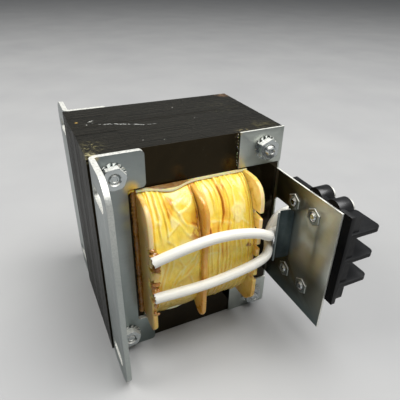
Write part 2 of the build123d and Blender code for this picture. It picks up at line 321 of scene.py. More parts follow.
def lathe(bm, rings, n, frame_m, phase=0.0, cap0=False, cap1=False):
    """rings: list of (height, radius or function of angle). frame_m maps (x, y, h) to the model, mm in."""
    loops = []
    for h, r in rings:
        lp = []
        for i in range(n):
            a = 2 * math.pi * i / n + phase
            rr = r(a) if callable(r) else r
            hh = h(a) if callable(h) else h
            lp.append(bm.verts.new(frame_m @ (Vector((rr * math.cos(a), rr * math.sin(a), hh)) * MM)))
        loops.append(lp)
    for a, b in zip(loops, loops[1:]):
        for i in range(n):
            j = (i + 1) % n
            bm.faces.new((a[i], a[j], b[j], b[i]))
    if cap0:
        bm.faces.new(loops[0][::-1])
    if cap1:
        bm.faces.new(loops[-1])
    return loops


def to_front(x, y, z):
    """local axis h points to -Y"""
    return Matrix(((1, 0, 0, x * MM), (0, 0, -1, y * MM), (0, 1, 0, z * MM), (0, 0, 0, 1)))


def to_back(x, y, z):
    return Matrix(((-1, 0, 0, x * MM), (0, 0, 1, y * MM), (0, 1, 0, z * MM), (0, 0, 0, 1)))


def to_left(x, y, z):
    """local axis h points to -X"""
    return Matrix(((0, 0, -1, x * MM), (1, 0, 0, y * MM), (0, 1, 0, z * MM), (0, 0, 0, 1)))


def to_right(x, y, z):
    return Matrix(((0, 0, 1, x * MM), (-1, 0, 0, y * MM), (0, 1, 0, z * MM), (0, 0, 0, 1)))


def hexr(af, turn=0.0):
    def f(a):
        t = (a - turn) % (math.pi / 3) - math.pi / 6
        return af / 2 / math.cos(t)
    return f


def lim(f, cap):
    return lambda a: min(f(a), cap)


# ------------------------------------------------------------------ materials
def mat_core():
    m = Mat("core_varnish")
    # fine streaks along each lamination edge, then broader patches of varnish
    fine = m.noise(1.0, 3.0, 0.65, 0.0, m.map((70, 1700, 70)))
    fine2 = m.noise(1.0, 2.0, 0.6, 0.0, m.map((260, 3300, 260), (3.1, 0, 7.7)))
    patch = m.noise(45, 5.0, 0.62, 0.6)
    grime = m.noise(420, 6.0, 0.7)
    n = m.sep(m.geo.outputs["Normal"])
    face = m.math("ABSOLUTE", n[1])                       # 1 on the flat front and rear faces
    edge = m.rng(face, 0.4, 0.8, 1.0, 0.0)
    col = m.ramp(m.math("ADD", m.math("MULTIPLY", fine, 0.65), m.math("MULTIPLY", fine2, 0.35)),
                 [(0.30, (0.0008, 0.0010, 0.0010)), (0.46, (0.0026, 0.0029, 0.0029)), (0.60, (0.0072, 0.0078, 0.0077)),
                  (0.72, (0.028, 0.030, 0.029))])
    col = m.mix(m.rng(patch, 0.46, 0.68, 0.0, 0.40), col, (0.0040, 0.0044, 0.0042))
    flat = m.ramp(m.noise(30, 4.0, 0.6, 0.8), [(0.35, (0.0050, 0.0036, 0.0020)), (0.62, (0.0100, 0.0070, 0.0036)),
                                              (0.80, (0.0150, 0.0100, 0.0048))])
    col = m.mix(edge, flat, col)
    # pale specks and dust
    speck = m.rng(m.noise(1500, 2.0, 0.5), 0.74, 0.80, 0.0, 0.5)
    col = m.mix(m.math("MULTIPLY", speck, edge), col, (0.20, 0.20, 0.17))

    def spot(col, p, r0, r1, c, ns=700, lo=0.42, hi=0.58, amt=1.0):
        s = m.math("MULTIPLY", m.near(p, r0, r1), m.rng(m.noise(ns, 4.0, 0.7), lo, hi, 0.0, amt), clamp=True)
        return m.mix(s, col, c)
    # varnish beads and olive stains near the edges, worn corner
    col = spot(col, (-44.8, -22, 114.3), 2.5, 9.0, (0.14, 0.125, 0.055), 620, 0.52, 0.62, 0.9)
    col = spot(col, (-46.0, -30.5, 114.3), 0.6, 4.5, (0.40, 0.36, 0.20), 900, 0.45, 0.56, 0.9)
    col = spot(col, (45.5, 29.0, 114.3), 1.5, 7.0, (0.17, 0.105, 0.06), 500, 0.40, 0.56, 0.9)
    col = spot(col, (39.5, -26.0, 114.3), 2.0, 9.0, (0.075, 0.065, 0.030), 400, 0.46, 0.62, 0.85)
    col = spot(col, (33.0, 8.0, 114.3), 3.0, 16.0, (0.060, 0.055, 0.030), 480, 0.55, 0.66, 0.8)
    col = spot(col, (-44.0, 10.7, 114.3), 0.3, 1.1, (0.42, 0.27, 0.07), 900, 0.30, 0.45, 1.0)
    col = spot(col, (2.0, -12.0, 114.3), 6.0, 30.0, (0.10, 0.10, 0.085), 900, 0.64, 0.72, 0.8)
    col = spot(col, (27.0, -30.5, 112.0), 1.0, 7.0, (0.36, 0.30, 0.15), 1000, 0.55, 0.63, 1.0)
    # two amber blurs on the front face just above the coil
    col = spot(col, (18.2, -30.5, 100.0), 0.5, 5.5, (0.060, 0.034, 0.006), 260, 0.30, 0.60, 0.8)
    col = spot(col, (-8.2, -30.5, 100.8), 0.5, 4.5, (0.036, 0.018, 0.004), 260, 0.30, 0.60, 0.8)
    for p, r in (((-37.4, 10.0, 114.3), 0.9), ((-36.2, 10.7, 114.3), 0.8), ((-38.6, 8.9, 114.3), 0.5), ((-37.0, 7.4, 114.3), 0.5), ((-39.9, 5.9, 114.3), 0.6), ((-20.9, -22.5, 114.3), 0.45), ((-12.0, -25.5, 114.3), 0.3),
                 ((8.0, 16.0, 114.3), 0.35), ((12.5, -3.5, 114.3), 0.4), ((24.0, 1.0, 114.3), 0.35)):
        col = spot(col, p, 0.2 * r, r, (0.72, 0.72, 0.66), 1300, 0.46, 0.54, 1.0)
    # a long broken scratch across the top
    x, y, z = m.sep(m.co)
    wob = m.math("MULTIPLY", m.math("SUBTRACT", m.noise(150, 2.0, 0.5), 0.5), 0.0045)
    line = m.math("ADD", m.math("MULTIPLY_ADD", x, -0.36, -0.0083), wob)
    d = m.math("ABSOLUTE", m.math("SUBTRACT", y, line))
    on = m.rng(d, 0.00006, 0.00032, 1.0, 0.0)
    on = m.math("MULTIPLY", on, m.rng(x, -0.0355, -0.034, 0.0, 1.0))
    on = m.math("MULTIPLY", on, m.rng(x, -0.0100, -0.0080, 1.0, 0.0))
    on = m.math("MULTIPLY", on, m.rng(m.noise(620, 2.0, 0.6), 0.40, 0.52, 0.0, 1.0))
    on = m.math("MULTIPLY", on, m.rng(n[2], 0.6, 0.8, 0.0, 1.0))
    col = m.mix(on, col, (0.75, 0.76, 0.72))
    rough = m.mix(edge, m.rng(m.noise(60, 3.0, 0.6), 0.3, 0.7, 0.10, 0.20), m.rng(fine, 0.3, 0.7, 0.24, 0.46))
    rough = m.mix(on, rough, (0.7, 0.7, 0.7))
    hgt = m.math("ADD", m.math("MULTIPLY", m.math("MULTIPLY", fine, edge), 0.6), m.math("MULTIPLY", grime, 0.25))
    rough = m.mix(m.rng(n[0], -0.5, -0.9, 0.0, 0.75), rough, (0.46, 0.46, 0.46))
    spec = m.rng(n[2], 0.5, 0.9, 0.20, 0.12)
    tint = m.mix(edge, (1.0, 0.80, 0.45), (0.94, 1.0, 0.98))
    m.set(Base_Color=col, Roughness=rough, Metallic=0.0, IOR=1.5,
          Normal=m.bump(hgt, 0.35, 0.00022))
    m.put(m.b.inputs["Specular IOR Level"], spec)
    m.put(m.b.inputs["Specular Tint"], tint)
    return m


def zinc(name, tint, rough=(0.30, 0.46), streak=(40, 40, 700), dirt=(0.30, 0.29, 0.24), stain=(), bright=1.0, dirt_amt=0.35, bump=0.14, tongue=False, flange=False):
    m = Mat(name)
    cloud = m.noise(55, 5.0, 0.6, 0.5)
    cloud2 = m.noise(210, 4.0, 0.6, 0.3, m.map(loc=(5, 2, 1)))
    st = m.noise(1.0, 3.0, 0.6, 0.0, m.map(streak))
    a = tuple(min(1.0, c * 0.86 * bright) for c in tint)
    b = tuple(min(1.0, c * 1.10 * bright) for c in tint)
    col = m.ramp(m.math("ADD", m.math("MULTIPLY", cloud, 0.6), m.math("MULTIPLY", cloud2, 0.4)), [(0.32, a), (0.68, b)])
    col = m.mix(m.rng(st, 0.35, 0.75, 0.0, 0.22), col, tuple(min(1.0, c * 1.25) for c in tint))
    pits = m.rng(m.noise(900, 4.0, 0.7), 0.60, 0.72, 0.0, 1.0)
    col = m.mix(m.math("MULTIPLY", pits, dirt_amt), col, dirt)
    for p, r0, r1, c, amt in stain:
        s = m.math("MULTIPLY", m.near(p, r0, r1), m.rng(m.noise(160, 3.0, 0.6), 0.25, 0.6, 0.35, 1.0))
        col = m.mix(m.math("MULTIPLY", s, amt), col, c)
    nx_, ny_, nz_ = m.sep(m.geo.outputs["Normal"])
    x, y, z = m.sep(m.co)
    cut_edge_and_highlight = m.rng(nz_, 0.30, 0.62, 0.0, 1.0)                # sheared edges and other faces that look up are lighter and grainy: the edges' own matte grain plus a painted highlight from above
    if flange:
        # painted highlight: the flanges' sheared side edges lighter, more so toward the top
        side = m.math("MULTIPLY", m.rng(m.math("ABSOLUTE", y), 0.0333, 0.0338, 0.0, 1.0), m.rng(m.math("ABSOLUTE", nx_), 0.75, 0.5, 0.0, 1.0))
        cut_edge_and_highlight = m.math("MAXIMUM", cut_edge_and_highlight, m.math("MULTIPLY", side, m.rng(z, 0.070, 0.112, 0.20, 0.62)))
        # painted shade: the flange darker toward the bottom
        col = m.mix(m.rng(z, 0.062, 0.004, 0.0, 0.62), col, (0.16, 0.20, 0.19))
    if tongue:                                             # painted reflection: the bent tab darkened to a dull bluish grey, its lip darkened less as a painted reflection of the white lead
        k = m.math("MULTIPLY", m.rng(x, 0.0474, 0.0470, 0.0, 1.0), m.rng(y, -0.0458, -0.0466, 0.0, 1.0))
        root = m.math("MULTIPLY", m.rng(x, 0.0480, 0.0476, 0.0, 1.0), m.math("MULTIPLY", m.rng(y, -0.0458, -0.0466, 0.0, 1.0), m.rng(y, -0.0510, -0.0492, 0.0, 1.0)))
        root = m.math("MULTIPLY", root, m.math("MULTIPLY", m.rng(z, 0.0455, 0.0475, 0.0, 1.0), m.rng(z, 0.0770, 0.0745, 0.0, 1.0)))
        k = m.math("MAXIMUM", m.math("MULTIPLY", k, m.rng(x, 0.0386, 0.0394, 0.62, 1.0)), root)
        col = m.mix(m.math("MULTIPLY", k, m.rng(cloud2, 0.3, 0.7, 0.86, 0.96)), col, (0.032, 0.052, 0.062))
        # on the plate's outer face: painted shade near the core and toward the bottom
        face = m.math("MULTIPLY", m.rng(x, 0.0473, 0.0475, 0.0, 1.0), m.math("MULTIPLY", m.rng(nx_, -0.5, -0.8, 0.0, 1.0), m.rng(y, -0.0318, -0.0328, 0.0, 1.0)))
        near_core = m.math("MULTIPLY", m.rng(y, -0.076, -0.042, 0.0, 0.95, True), m.rng(z, 0.066, 0.080, 0.15, 1.0, True))
        painted_low_shade = m.rng(z, 0.056, 0.044, 0.0, 0.82, True)
        film = m.math("MULTIPLY", face, m.math("MAXIMUM", near_core, painted_low_shade))
        col = m.mix(film, col, (0.100, 0.098, 0.066))
        # painted sheen: a paler band across the middle of the plate's outer face
        band = m.math("MULTIPLY", m.rng(z, 0.050, 0.060, 0.0, 1.0, True), m.rng(z, 0.072, 0.060, 0.0, 1.0, True))
        band = m.math("MULTIPLY", m.math("MULTIPLY", face, band), m.rng(y, -0.050, -0.060, 0.25, 1.0, True))
        col = m.mix(m.math("MULTIPLY", band, 0.55), col, (0.80, 0.83, 0.78))
        # painted shade: the plate's outer face very dark and bluish at the bottom
        col = m.mix(m.math("MULTIPLY", face, m.rng(z, 0.042, 0.020, 0.0, 0.97, True)), col, (0.065, 0.092, 0.094))
        front = m.math("MULTIPLY", m.rng(y, -0.0786, -0.0790, 0.0, 0.8), m.rng(ny_, -0.3, -0.6, 0.0, 1.0))
        cut_edge_and_highlight = m.math("MAXIMUM", cut_edge_and_highlight, front)
    grain = m.rng(m.noise(1500, 3.0, 0.7), 0.35, 0.62, 0.58, 0.95)
    cut_edge_and_highlight = m.math("MULTIPLY", cut_edge_and_highlight, grain)
    col = m.mix(cut_edge_and_highlight, col, (0.90, 0.89, 0.82))
    rg = m.rng(m.math("ADD", m.math("MULTIPLY", cloud2, 0.5), m.math("MULTIPLY", st, 0.5)), 0.32, 0.68, rough[0], rough[1])
    h = m.math("ADD", m.math("MULTIPLY", st, 0.5), m.math("MULTIPLY", m.noise(1300, 3.0, 0.6), 0.5))
    rg = m.mix(cut_edge_and_highlight, rg, (0.62, 0.62, 0.62))
    m.set(Base_Color=col, Metallic=m.rng(cut_edge_and_highlight, 0.0, 1.0, 1.0, 0.35), Roughness=rg, Normal=m.bump(h, bump, 0.00008))
    return m


def mat_resin(name="bobbin_resin", base=((0.58, 0.34, 0.055), (0.80, 0.55, 0.125), (0.90, 0.72, 0.30)), rough=(0.22, 0.42), film=False):
    m = Mat(name)
    f = m.noise(90, 5.0, 0.6, 0.7)
    g = m.noise(500, 3.0, 0.6)
    col = m.ramp(f, [(0.30, base[0]), (0.50, base[1]), (0.72, base[2])])
    col = m.mix(m.rng(g, 0.55, 0.75, 0.0, 0.35), col, (0.46, 0.22, 0.035))
    if film:                                               # browner on the top face next to the core, where the sheet dips
        y = m.math("ABSOLUTE", m.sep(m.co)[1])
        nz_ = m.sep(m.geo.outputs["Normal"])[2]
        dip = m.rng(m.math("ABSOLUTE", m.math("ADD", m.sep(m.co)[0], 0.0126)), 0.009, 0.0140, 1.0, 0.0)
        k = m.math("MULTIPLY", m.math("MULTIPLY", m.rng(m.math("SUBTRACT", y, m.math("MULTIPLY", dip, 0.0024)), 0.0312, 0.0318, 1.0, 0.0), m.rng(nz_, 0.35, 0.8, 0.0, 1.0)), dip)
        col = m.mix(m.math("MULTIPLY", k, m.rng(g, 0.3, 0.7, 0.80, 0.98)), col, (0.16, 0.055, 0.006))
    if film:
        # painted highlight: the sheet's front-facing rim lightened to cream
        painted_rim_light = m.rng(m.sep(m.geo.outputs["Normal"])[1], -0.25, -0.7, 0.0, 0.9)
        col = m.mix(painted_rim_light, col, (1.0, 0.93, 0.68))
    if name == "bobbin_resin":                             # browner at the middle flange; painted light and shade on the left flange's outer face, painted shade toward the bottom, painted highlight on the upper front edges
        x, y, z = m.sep(m.co)
        nx_, ny_, nz_ = m.sep(m.geo.outputs["Normal"])
        mid = m.rng(m.math("ABSOLUTE", x), 0.0030, 0.0045, 1.0, 0.0)
        col = m.mix(m.math("MULTIPLY", mid, m.rng(g, 0.35, 0.65, 0.60, 0.85)), col, (0.74, 0.37, 0.065))
        # painted light lightens the left flange's outer face, painted shade browns it toward the rear
        left = m.math("MULTIPLY", m.rng(x, -0.0262, -0.0270, 0.0, 1.0), m.rng(nx_, -0.4, -0.8, 0.0, 1.0))
        back = m.rng(y, -0.0462, -0.0340, 0.10, 0.75)
        col = m.mix(m.math("MULTIPLY", left, 0.60), col, (0.97, 0.74, 0.32))
        col = m.mix(m.math("MULTIPLY", left, back), col, (0.70, 0.38, 0.085))
        # painted shade: darker toward the bottom
        col = m.mix(m.rng(z, 0.045, 0.012, 0.0, 0.55), col, (0.46, 0.25, 0.040))
        # painted highlight: upper front-facing edges lightened to cream
        painted_edge_highlight = m.math("MULTIPLY", m.math("MULTIPLY", m.rng(ny_, -0.35, -0.8, 0.0, 0.55), m.rng(z, 0.050, 0.070, 0.0, 1.0)), m.math("SUBTRACT", 1.0, mid))
        col = m.mix(painted_edge_highlight, col, (0.93, 0.80, 0.52))
    m.set(Base_Color=col, Roughness=m.rng(f, 0.3, 0.7, rough[0], rough[1]), Normal=m.bump(m.math("ADD", f, g), 0.12, 0.0003))
    m.b.inputs["Subsurface Weight"].default_value = 0.55
    m.b.inputs["Subsurface Radius"].default_value = (1.0, 0.42, 0.10)
    m.b.inputs["Subsurface Scale"].default_value = 0.0022
    m.b.inputs["Specular IOR Level"].default_value = 0.35
    m.b.inputs["Coat Weight"].default_value = 0.3
    m.b.inputs["Coat Roughness"].default_value = 0.12
    return m


def mat_tape():
    m = Mat("winding_tape")
    fold = m.attr("fold")                                  # 0 in the grooves, 1 on the ridges; lightens the ridges as a painted highlight
    amber = m.attr("amber")                                # varnish gathered in seams and stains
    n1 = m.noise(70, 5.0, 0.60, 1.3)
    n2 = m.noise(1.0, 4.0, 0.6, 0.5, m.map((300, 45, 45)))
    n3 = m.noise(240, 4.0, 0.6, 0.4, m.map(loc=(1, 4, 2)))
    col = m.ramp(n1, [(0.26, (0.84, 0.55, 0.045)), (0.44, (0.93, 0.67, 0.080)), (0.60, (0.95, 0.74, 0.135)),
                      (0.78, (0.95, 0.79, 0.23))])
    # painted highlight: ridges lightened toward pale yellow; grooves a little more amber
    col = m.mix(m.rng(fold, 0.62, 1.05, 0.0, 0.80), col, (0.98, 0.84, 0.38))
    col = m.mix(m.rng(fold, 0.36, 0.0, 0.0, 0.30), col, (0.76, 0.45, 0.035))
    col = m.mix(m.rng(n2, 0.60, 0.80, 0.0, 0.18), col, (0.86, 0.55, 0.06))
    am = m.math("MULTIPLY_ADD", m.math("SUBTRACT", n3, 0.5), 0.55, amber)
    am = m.math("MULTIPLY", m.rng(am, 0.06, 0.85, 0.0, 1.0), m.rng(amber, 0.0, 0.12, 0.0, 1.0))
    deep = m.ramp(am, [(0.0, (0.90, 0.57, 0.045)), (0.40, (0.85, 0.43, 0.022)), (0.75, (0.66, 0.25, 0.010)), (1.0, (0.36, 0.10, 0.006))])
    col = m.mix(m.rng(am, 0.04, 0.75, 0.0, 0.92), col, deep)

    def spot(col, p, r0, r1, c, ns, lo, hi, amt):
        s = m.math("MULTIPLY", m.near(p, r0, r1), m.rng(m.noise(ns, 4.0, 0.65, 0.6), lo, hi, 0.0, amt), clamp=True)
        return m.mix(s, col, c)
    col = spot(col, (-4.2, -46, 74.0), 1.5, 5.5, (0.42, 0.13, 0.010), 230, 0.40, 0.52, 0.85)
    col = spot(col, (22.5, -47.5, 61.2), 0.5, 1.6, (0.20, 0.04, 0.006), 500, 0.20, 0.45, 1.0)
    z = m.sep(m.co)[2]
    # painted shade: darker toward the bottom
    col = m.mix(m.rng(z, 0.034, 0.058, 0.45, 0.0, True), col, (0.50, 0.31, 0.05))
    painted_low_shade = m.rng(m.sep(m.co)[2], 0.040, 0.021, 0.0, 0.62, True)   # painted shade, darker still toward the bottom
    col = m.mix(painted_low_shade, col, (0.36, 0.26, 0.055))
    m.set(Base_Color=col, Roughness=m.rng(n3, 0.3, 0.7, 0.20, 0.38),
          Normal=m.bump(m.math("ADD", m.math("MULTIPLY", n2, 0.6), m.math("MULTIPLY", m.noise(520, 3.0, 0.6), 0.3)), 0.16, 0.0005))
    m.b.inputs["Subsurface Weight"].default_value = 0.30
    m.b.inputs["Subsurface Radius"].default_value = (1.0, 0.55, 0.10)
    m.b.inputs["Subsurface Scale"].default_value = 0.0014
    m.b.inputs["Specular IOR Level"].default_value = 0.35
    m.b.inputs["Coat Weight"].default_value = 0.42
    m.b.inputs["Coat Roughness"].default_value = 0.09
    return m


def mat_black(name="block_black"):
    m = Mat(name)
    f = m.noise(130, 4.0, 0.6, 0.4)
    g = m.noise(1700, 3.0, 0.6)
    col = m.ramp(f, [(0.30, (0.0040, 0.0041, 0.0044)), (0.70, (0.0090, 0.0092, 0.0098))])
    col = m.mix(m.rng(m.noise(800, 3.0, 0.6), 0.66, 0.80, 0.0, 0.30), col, (0.10, 0.10, 0.10))
    nx_, ny_, nz_ = m.sep(m.geo.outputs["Normal"])
    # painted shade: faces looking to -X darkened
    col = m.mix(m.rng(nx_, -0.5, -0.9, 0.0, 0.75), col, (0.0015, 0.0016, 0.0018))
    m.set(Base_Color=col, Roughness=m.rng(f, 0.3, 0.7, 0.30, 0.44), Normal=m.bump(g, 0.16, 0.00006))
    m.put(m.b.inputs["Specular IOR Level"], m.math("MULTIPLY", m.rng(nz_, 0.05, 0.6, 0.08, 0.60), m.rng(nx_, -0.5, -0.9, 1.0, 0.25)))
    return m


def mat_lead():
    m = Mat("lead_sleeve")
    u = m.map((9.0, 60.0, 1.0), src=m.uv)
    st = m.noise(1.0, 3.0, 0.6, 0.2, u)
    blot = m.noise(160, 4.0, 0.6)
    wv = m.noise(1.0, 2.0, 0.5, 0.0, m.map((170.0, 22.0, 1.0), src=m.uv))
    col = m.ramp(st, [(0.30, (0.70, 0.675, 0.595)), (0.55, (0.83, 0.815, 0.745)), (0.75, (0.88, 0.87, 0.82))])
    col = m.mix(m.rng(blot, 0.55, 0.78, 0.0, 0.30), col, (0.66, 0.62, 0.50))
    m.set(Base_Color=col, Roughness=m.rng(st, 0.3, 0.7, 0.42, 0.60),
          Normal=m.bump(m.math("ADD", m.math("MULTIPLY", st, 0.7), m.math("MULTIPLY", wv, 0.4)), 0.35, 0.00022))
    m.b.inputs["Subsurface Weight"].default_value = 0.15
    m.b.inputs["Subsurface Radius"].default_value = (1.0, 0.9, 0.7)
    m.b.inputs["Subsurface Scale"].default_value = 0.001
    m.b.inputs["Coat Weight"].default_value = 0.25
    m.b.inputs["Coat Roughness"].default_value = 0.3
    return m


CORE = mat_core()
AMBER = (0.62, 0.46, 0.12)
YELLOW = (0.95, 0.66, 0.085)
BRACKET = zinc("bracket_zinc", (0.275, 0.305, 0.300), (0.28, 0.44), (45, 45, 900),
               stain=(((-30.6, -32.9, 97.4), 0.6, 4.6, YELLOW, 0.9), ((-32.9, -32.9, 88.0), 0.4, 5.5, (0.62, 0.55, 0.20), 0.55),
                      ((-33.0, -32.9, 79.0), 0.4, 4.5, (0.52, 0.50, 0.28), 0.40), ((-44.6, -32.5, 114.0), 0.4, 2.6, (0.75, 0.60, 0.25), 0.9)),
               dirt_amt=0.14, bump=0.09, flange=True)
PLATE = zinc("plate_zinc", (0.46, 0.49, 0.455), (0.33, 0.40), (25, 25, 500),
             stain=(((23.4, -31.5, 114.0), 0.4, 1.8, (0.80, 0.66, 0.30), 0.6),),
             dirt_amt=0.0, bump=0.012, tongue=True)
HARD = zinc("hardware_zinc", (0.47, 0.50, 0.50), (0.13, 0.24), (500, 500, 500), dirt=(0.20, 0.20, 0.19), dirt_amt=0.40, bump=0.10)
GROOVE = Mat("groove_dark")
GROOVE.set(Base_Color=GROOVE.ramp(GROOVE.noise(600, 3.0), [(0.3, (0.045, 0.046, 0.044)), (0.7, (0.090, 0.092, 0.088))]), Roughness=GROOVE.rng(GROOVE.noise(300), 0.3, 0.7, 0.4, 0.7), Metallic=0.6)
RESIN = mat_resin()
BEAD = mat_resin("bead_resin", ((0.25, 0.10, 0.018), (0.52, 0.26, 0.07), (0.75, 0.52, 0.28)), (0.08, 0.2))
# painted light: brown standing in for the left flange face lit through its translucency inside the gap
GAP_PAINTED_LIGHT = mat_resin("gap_painted_light", ((0.16, 0.070, 0.010), (0.30, 0.135, 0.020), (0.42, 0.21, 0.040)), (0.2, 0.4))
SPECK = mat_resin("varnish_specks", ((0.70, 0.62, 0.42), (0.82, 0.77, 0.60), (0.90, 0.87, 0.76)), (0.3, 0.5))
TAPE_RESIN = mat_resin("corner_resin", ((0.60, 0.36, 0.03), (0.80, 0.55, 0.06), (0.90, 0.68, 0.14)), (0.08, 0.2))
TAPE = mat_tape()
FILM = mat_resin("slot_film", ((0.80, 0.52, 0.15), (0.93, 0.74, 0.34), (0.97, 0.86, 0.52)), (0.25, 0.4), film=True)
BLOCK = mat_black()
BRASS = zinc("terminal_brass", (0.62, 0.48, 0.22), (0.25, 0.42), (500, 60, 60))
NICKEL = zinc("terminal_plated", (0.60, 0.59, 0.56), (0.20, 0.34), (300, 300, 300), dirt_amt=0.3)
PALE_HEAD = zinc("terminal_plated_pale", (0.88, 0.87, 0.80), (0.34, 0.46), (300, 300, 300), dirt_amt=0.1)
LEAD = mat_lead()

# ------------------------------------------------------------------ leads
UPPER = [(-27.5, -50.3, 68.1), (-7, -52.4, 74.3), (10, -52.75, 74.3), (24, -53.1, 71.4), (31.4, -52.6, 67.0),
         (34.2, -48.6, 63.8), (38.4, -43.9, 61.4), (45.6, -42.6, 60.8), (51.0, -38.2, 60.3), (57.6, -37.4, 59.85),
         (61.0, -42.6, 59.85), (61.0, -47.6, 59.85)]
LOWER = [(-27.5, -50.3, 46.7), (-10, -52.4, 47.6), (9, -52.75, 49.0), (30.2, -52.9, 53.2), (37.0, -46.0, 53.5),
         (41.8, -37.6, 55.6), (45.8, -36.0, 63.4), (52.0, -35.6, 66.4), (58.8, -36.8, 67.6), (61.2, -41.4, 73.0),
         (61.0, -47.6, 73.95)]


def lead(name, pts, node):
    cu = bpy.data.curves.new(name, "CURVE")
    cu.dimensions = "3D"
    sp = cu.splines.new("NURBS")
    sp.points.add(len(pts) - 1)
    for p, q in zip(sp.points, pts):
        p.co = (q[0] * MM, q[1] * MM, q[2] * MM, 1.0)
    sp.order_u = 3
    sp.use_endpoint_u = True
    sp.resolution_u = 24
    cu.bevel_depth = 2.5 * MM
    cu.bevel_resolution = 8
    cu.use_fill_caps = True
    o = add(name, cu, LEAD)
    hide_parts(node)
    return o


lead_u = lead("lead_upper", UPPER, "upper_lead")
lead_l = lead("lead_lower", LOWER, "lower_lead")


def ragged_end(name, pts, seed):
    """the cut end of the sleeve: an open ring with uneven fibres"""
    rnd = random.Random(seed)
    p, q = Vector(pts[0]), Vector(pts[1])
    d = (p - q).normalized()
    side = d.cross(Vector((0, 0, 1))).normalized()
    upv = side.cross(d)
    m = Matrix((side, upv, d)).transposed().to_4x4()
    m.translation = (p - d * 1.6) * MM
    bm = bmesh.new()
    n = 48
    tips = [rnd.uniform(1.65, 2.15) + (rnd.random() < 0.3) * rnd.uniform(0.1, 0.5) for _ in range(n)]
    flare = [rnd.uniform(-0.02, 0.16) for _ in range(n)]

    def hf(base):
        return lambda a: base + (tips[int(round(a / (2 * math.pi) * n)) % n] - 1.65 if base > 1 else 0)

    def rf(r, k):
        return lambda a: r + k * flare[int(round(a / (2 * math.pi) * n)) % n]
    lathe(bm, [(0, 2.50), (0.9, 2.56), (hf(1.7), rf(2.55, 1.0)), (hf(1.66), rf(2.15, 1.0)), (0.8, 2.0), (0.7, 0.01)], n, m)
    return bm_to(name, bm, LEAD, 40)


ragged_end("lead_upper_end", UPPER, 3)
ragged_end("lead_lower_end", LOWER, 8)

# ------------------------------------------------------------------ core: a stack of E and I laminations
LEG = 19.05
XL, XR, YF, YB, H = -47.625, 47.625, -30.5, 30.5, 114.3
ZM = H / 2
HW = 28.575


def build_core():
    rnd = random.Random(11)
    bm = bmesh.new()
    count = 96
    pitch = (YB - YF) / count
    gap = 0.05
    for k in range(count):
        y0 = YF + k * pitch
        y1 = y0 + pitch
        s = 1 if k % 2 == 0 else -1
        jx, jz = rnd.gauss(0, 0.035), rnd.gauss(0, 0.035)
        jt = rnd.gauss(0, 0.03)
        if k in (0, count - 1):
            jx = jz = jt = 0.0
        E = [(XL + jx, 0 + max(jz, -0.02)), (HW - gap, 0 + max(jz, -0.02)), (HW - gap, LEG), (-HW, LEG), (-HW, 2 * LEG), (HW - gap, 2 * LEG),
             (HW - gap, 4 * LEG), (-HW, 4 * LEG), (-HW, 5 * LEG), (HW - gap, 5 * LEG), (HW - gap, H + jz), (XL + jx, H + jz)]
        I = [(HW + gap, 0 + max(jt, -0.02)), (XR + jt, 0 + max(jt, -0.02)), (XR + jt, H + jt), (HW + gap, H + jt)]
        for poly in (E, I):
            pts = [(s * x, z) for x, z in poly]
            if s < 0:
                pts = pts[::-1]
            c = 0.07
            k2 = len(pts)
            ins = []
            for i in range(k2):
                a, p, b = Vector(pts[i - 1]), Vector(pts[i]), Vector(pts[(i + 1) % k2])
                e1, e2 = (p - a).normalized(), (b - p).normalized()
                n1, n2 = Vector((-e1.y, e1.x)), Vector((-e2.y, e2.x))
                ins.append(tuple(p + (n1 + n2) * c))
            loops = []
            for y, src in ((y0, ins), (y0 + 0.09, pts), (y1 - 0.09, pts), (y1 - 0.004, ins)):
                loops.append([bm.verts.new((x * MM, y * MM, z * MM)) for x, z in src])
            for a, b in zip(loops, loops[1:]):
                for i in range(k2):
                    j = (i + 1) % k2
                    bm.faces.new((a[i], b[i], b[j], a[j]))
            bm.faces.new(loops[0])
            bm.faces.new(loops[-1][::-1])
    bmesh.ops.triangulate(bm, faces=[f for f in bm.faces if len(f.verts) > 4])
    o = bm_to("core_laminations", bm, CORE, 25)
    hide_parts("core_stack")
    return o


build_core()

# ------------------------------------------------------------------ brackets
dressed("front_foot_bracket", BRACKET, 0.42, 3)
dressed("rear_foot_bracket", BRACKET, 0.42, 3)
tb = dressed("terminal_bracket", PLATE, 0.16, 2)
for v in tb.data.vertices:                                # the free end of the tab stands a little higher than its root
    if v.co.x < 0.0470 and v.co.y < -0.0455 and 0.074 < v.co.z < 0.0755:
        v.co.z += 0.0021 * min(1.0, max(0.0, (0.0466 - v.co.x) / 0.0012))

# ------------------------------------------------------------------ core screws, toothed nuts
HOLES = [(XL + 9.5, 9.5), (XL + 9.5, H - 9.5), (XR - 9.5, 9.5), (XR - 9.5, H - 9.5)]
FRONT = {0: YF - 2.4, 1: YF - 2.4, 2: YF - 0.95, 3: YF - 0.95}


def thread(r, depth, pitch, h0, h1, step=6):
    """rings of a helical thread"""
    out = []
    n = max(2, int((h1 - h0) / pitch * step))
    for i in range(n + 1):
        h = h0 + (h1 - h0) * i / n
        out.append((h, (lambda hh: lambda a: r - depth * abs(((hh / pitch - a / (2 * math.pi)) % 1.0) * 2 - 1))(h)))
    return out


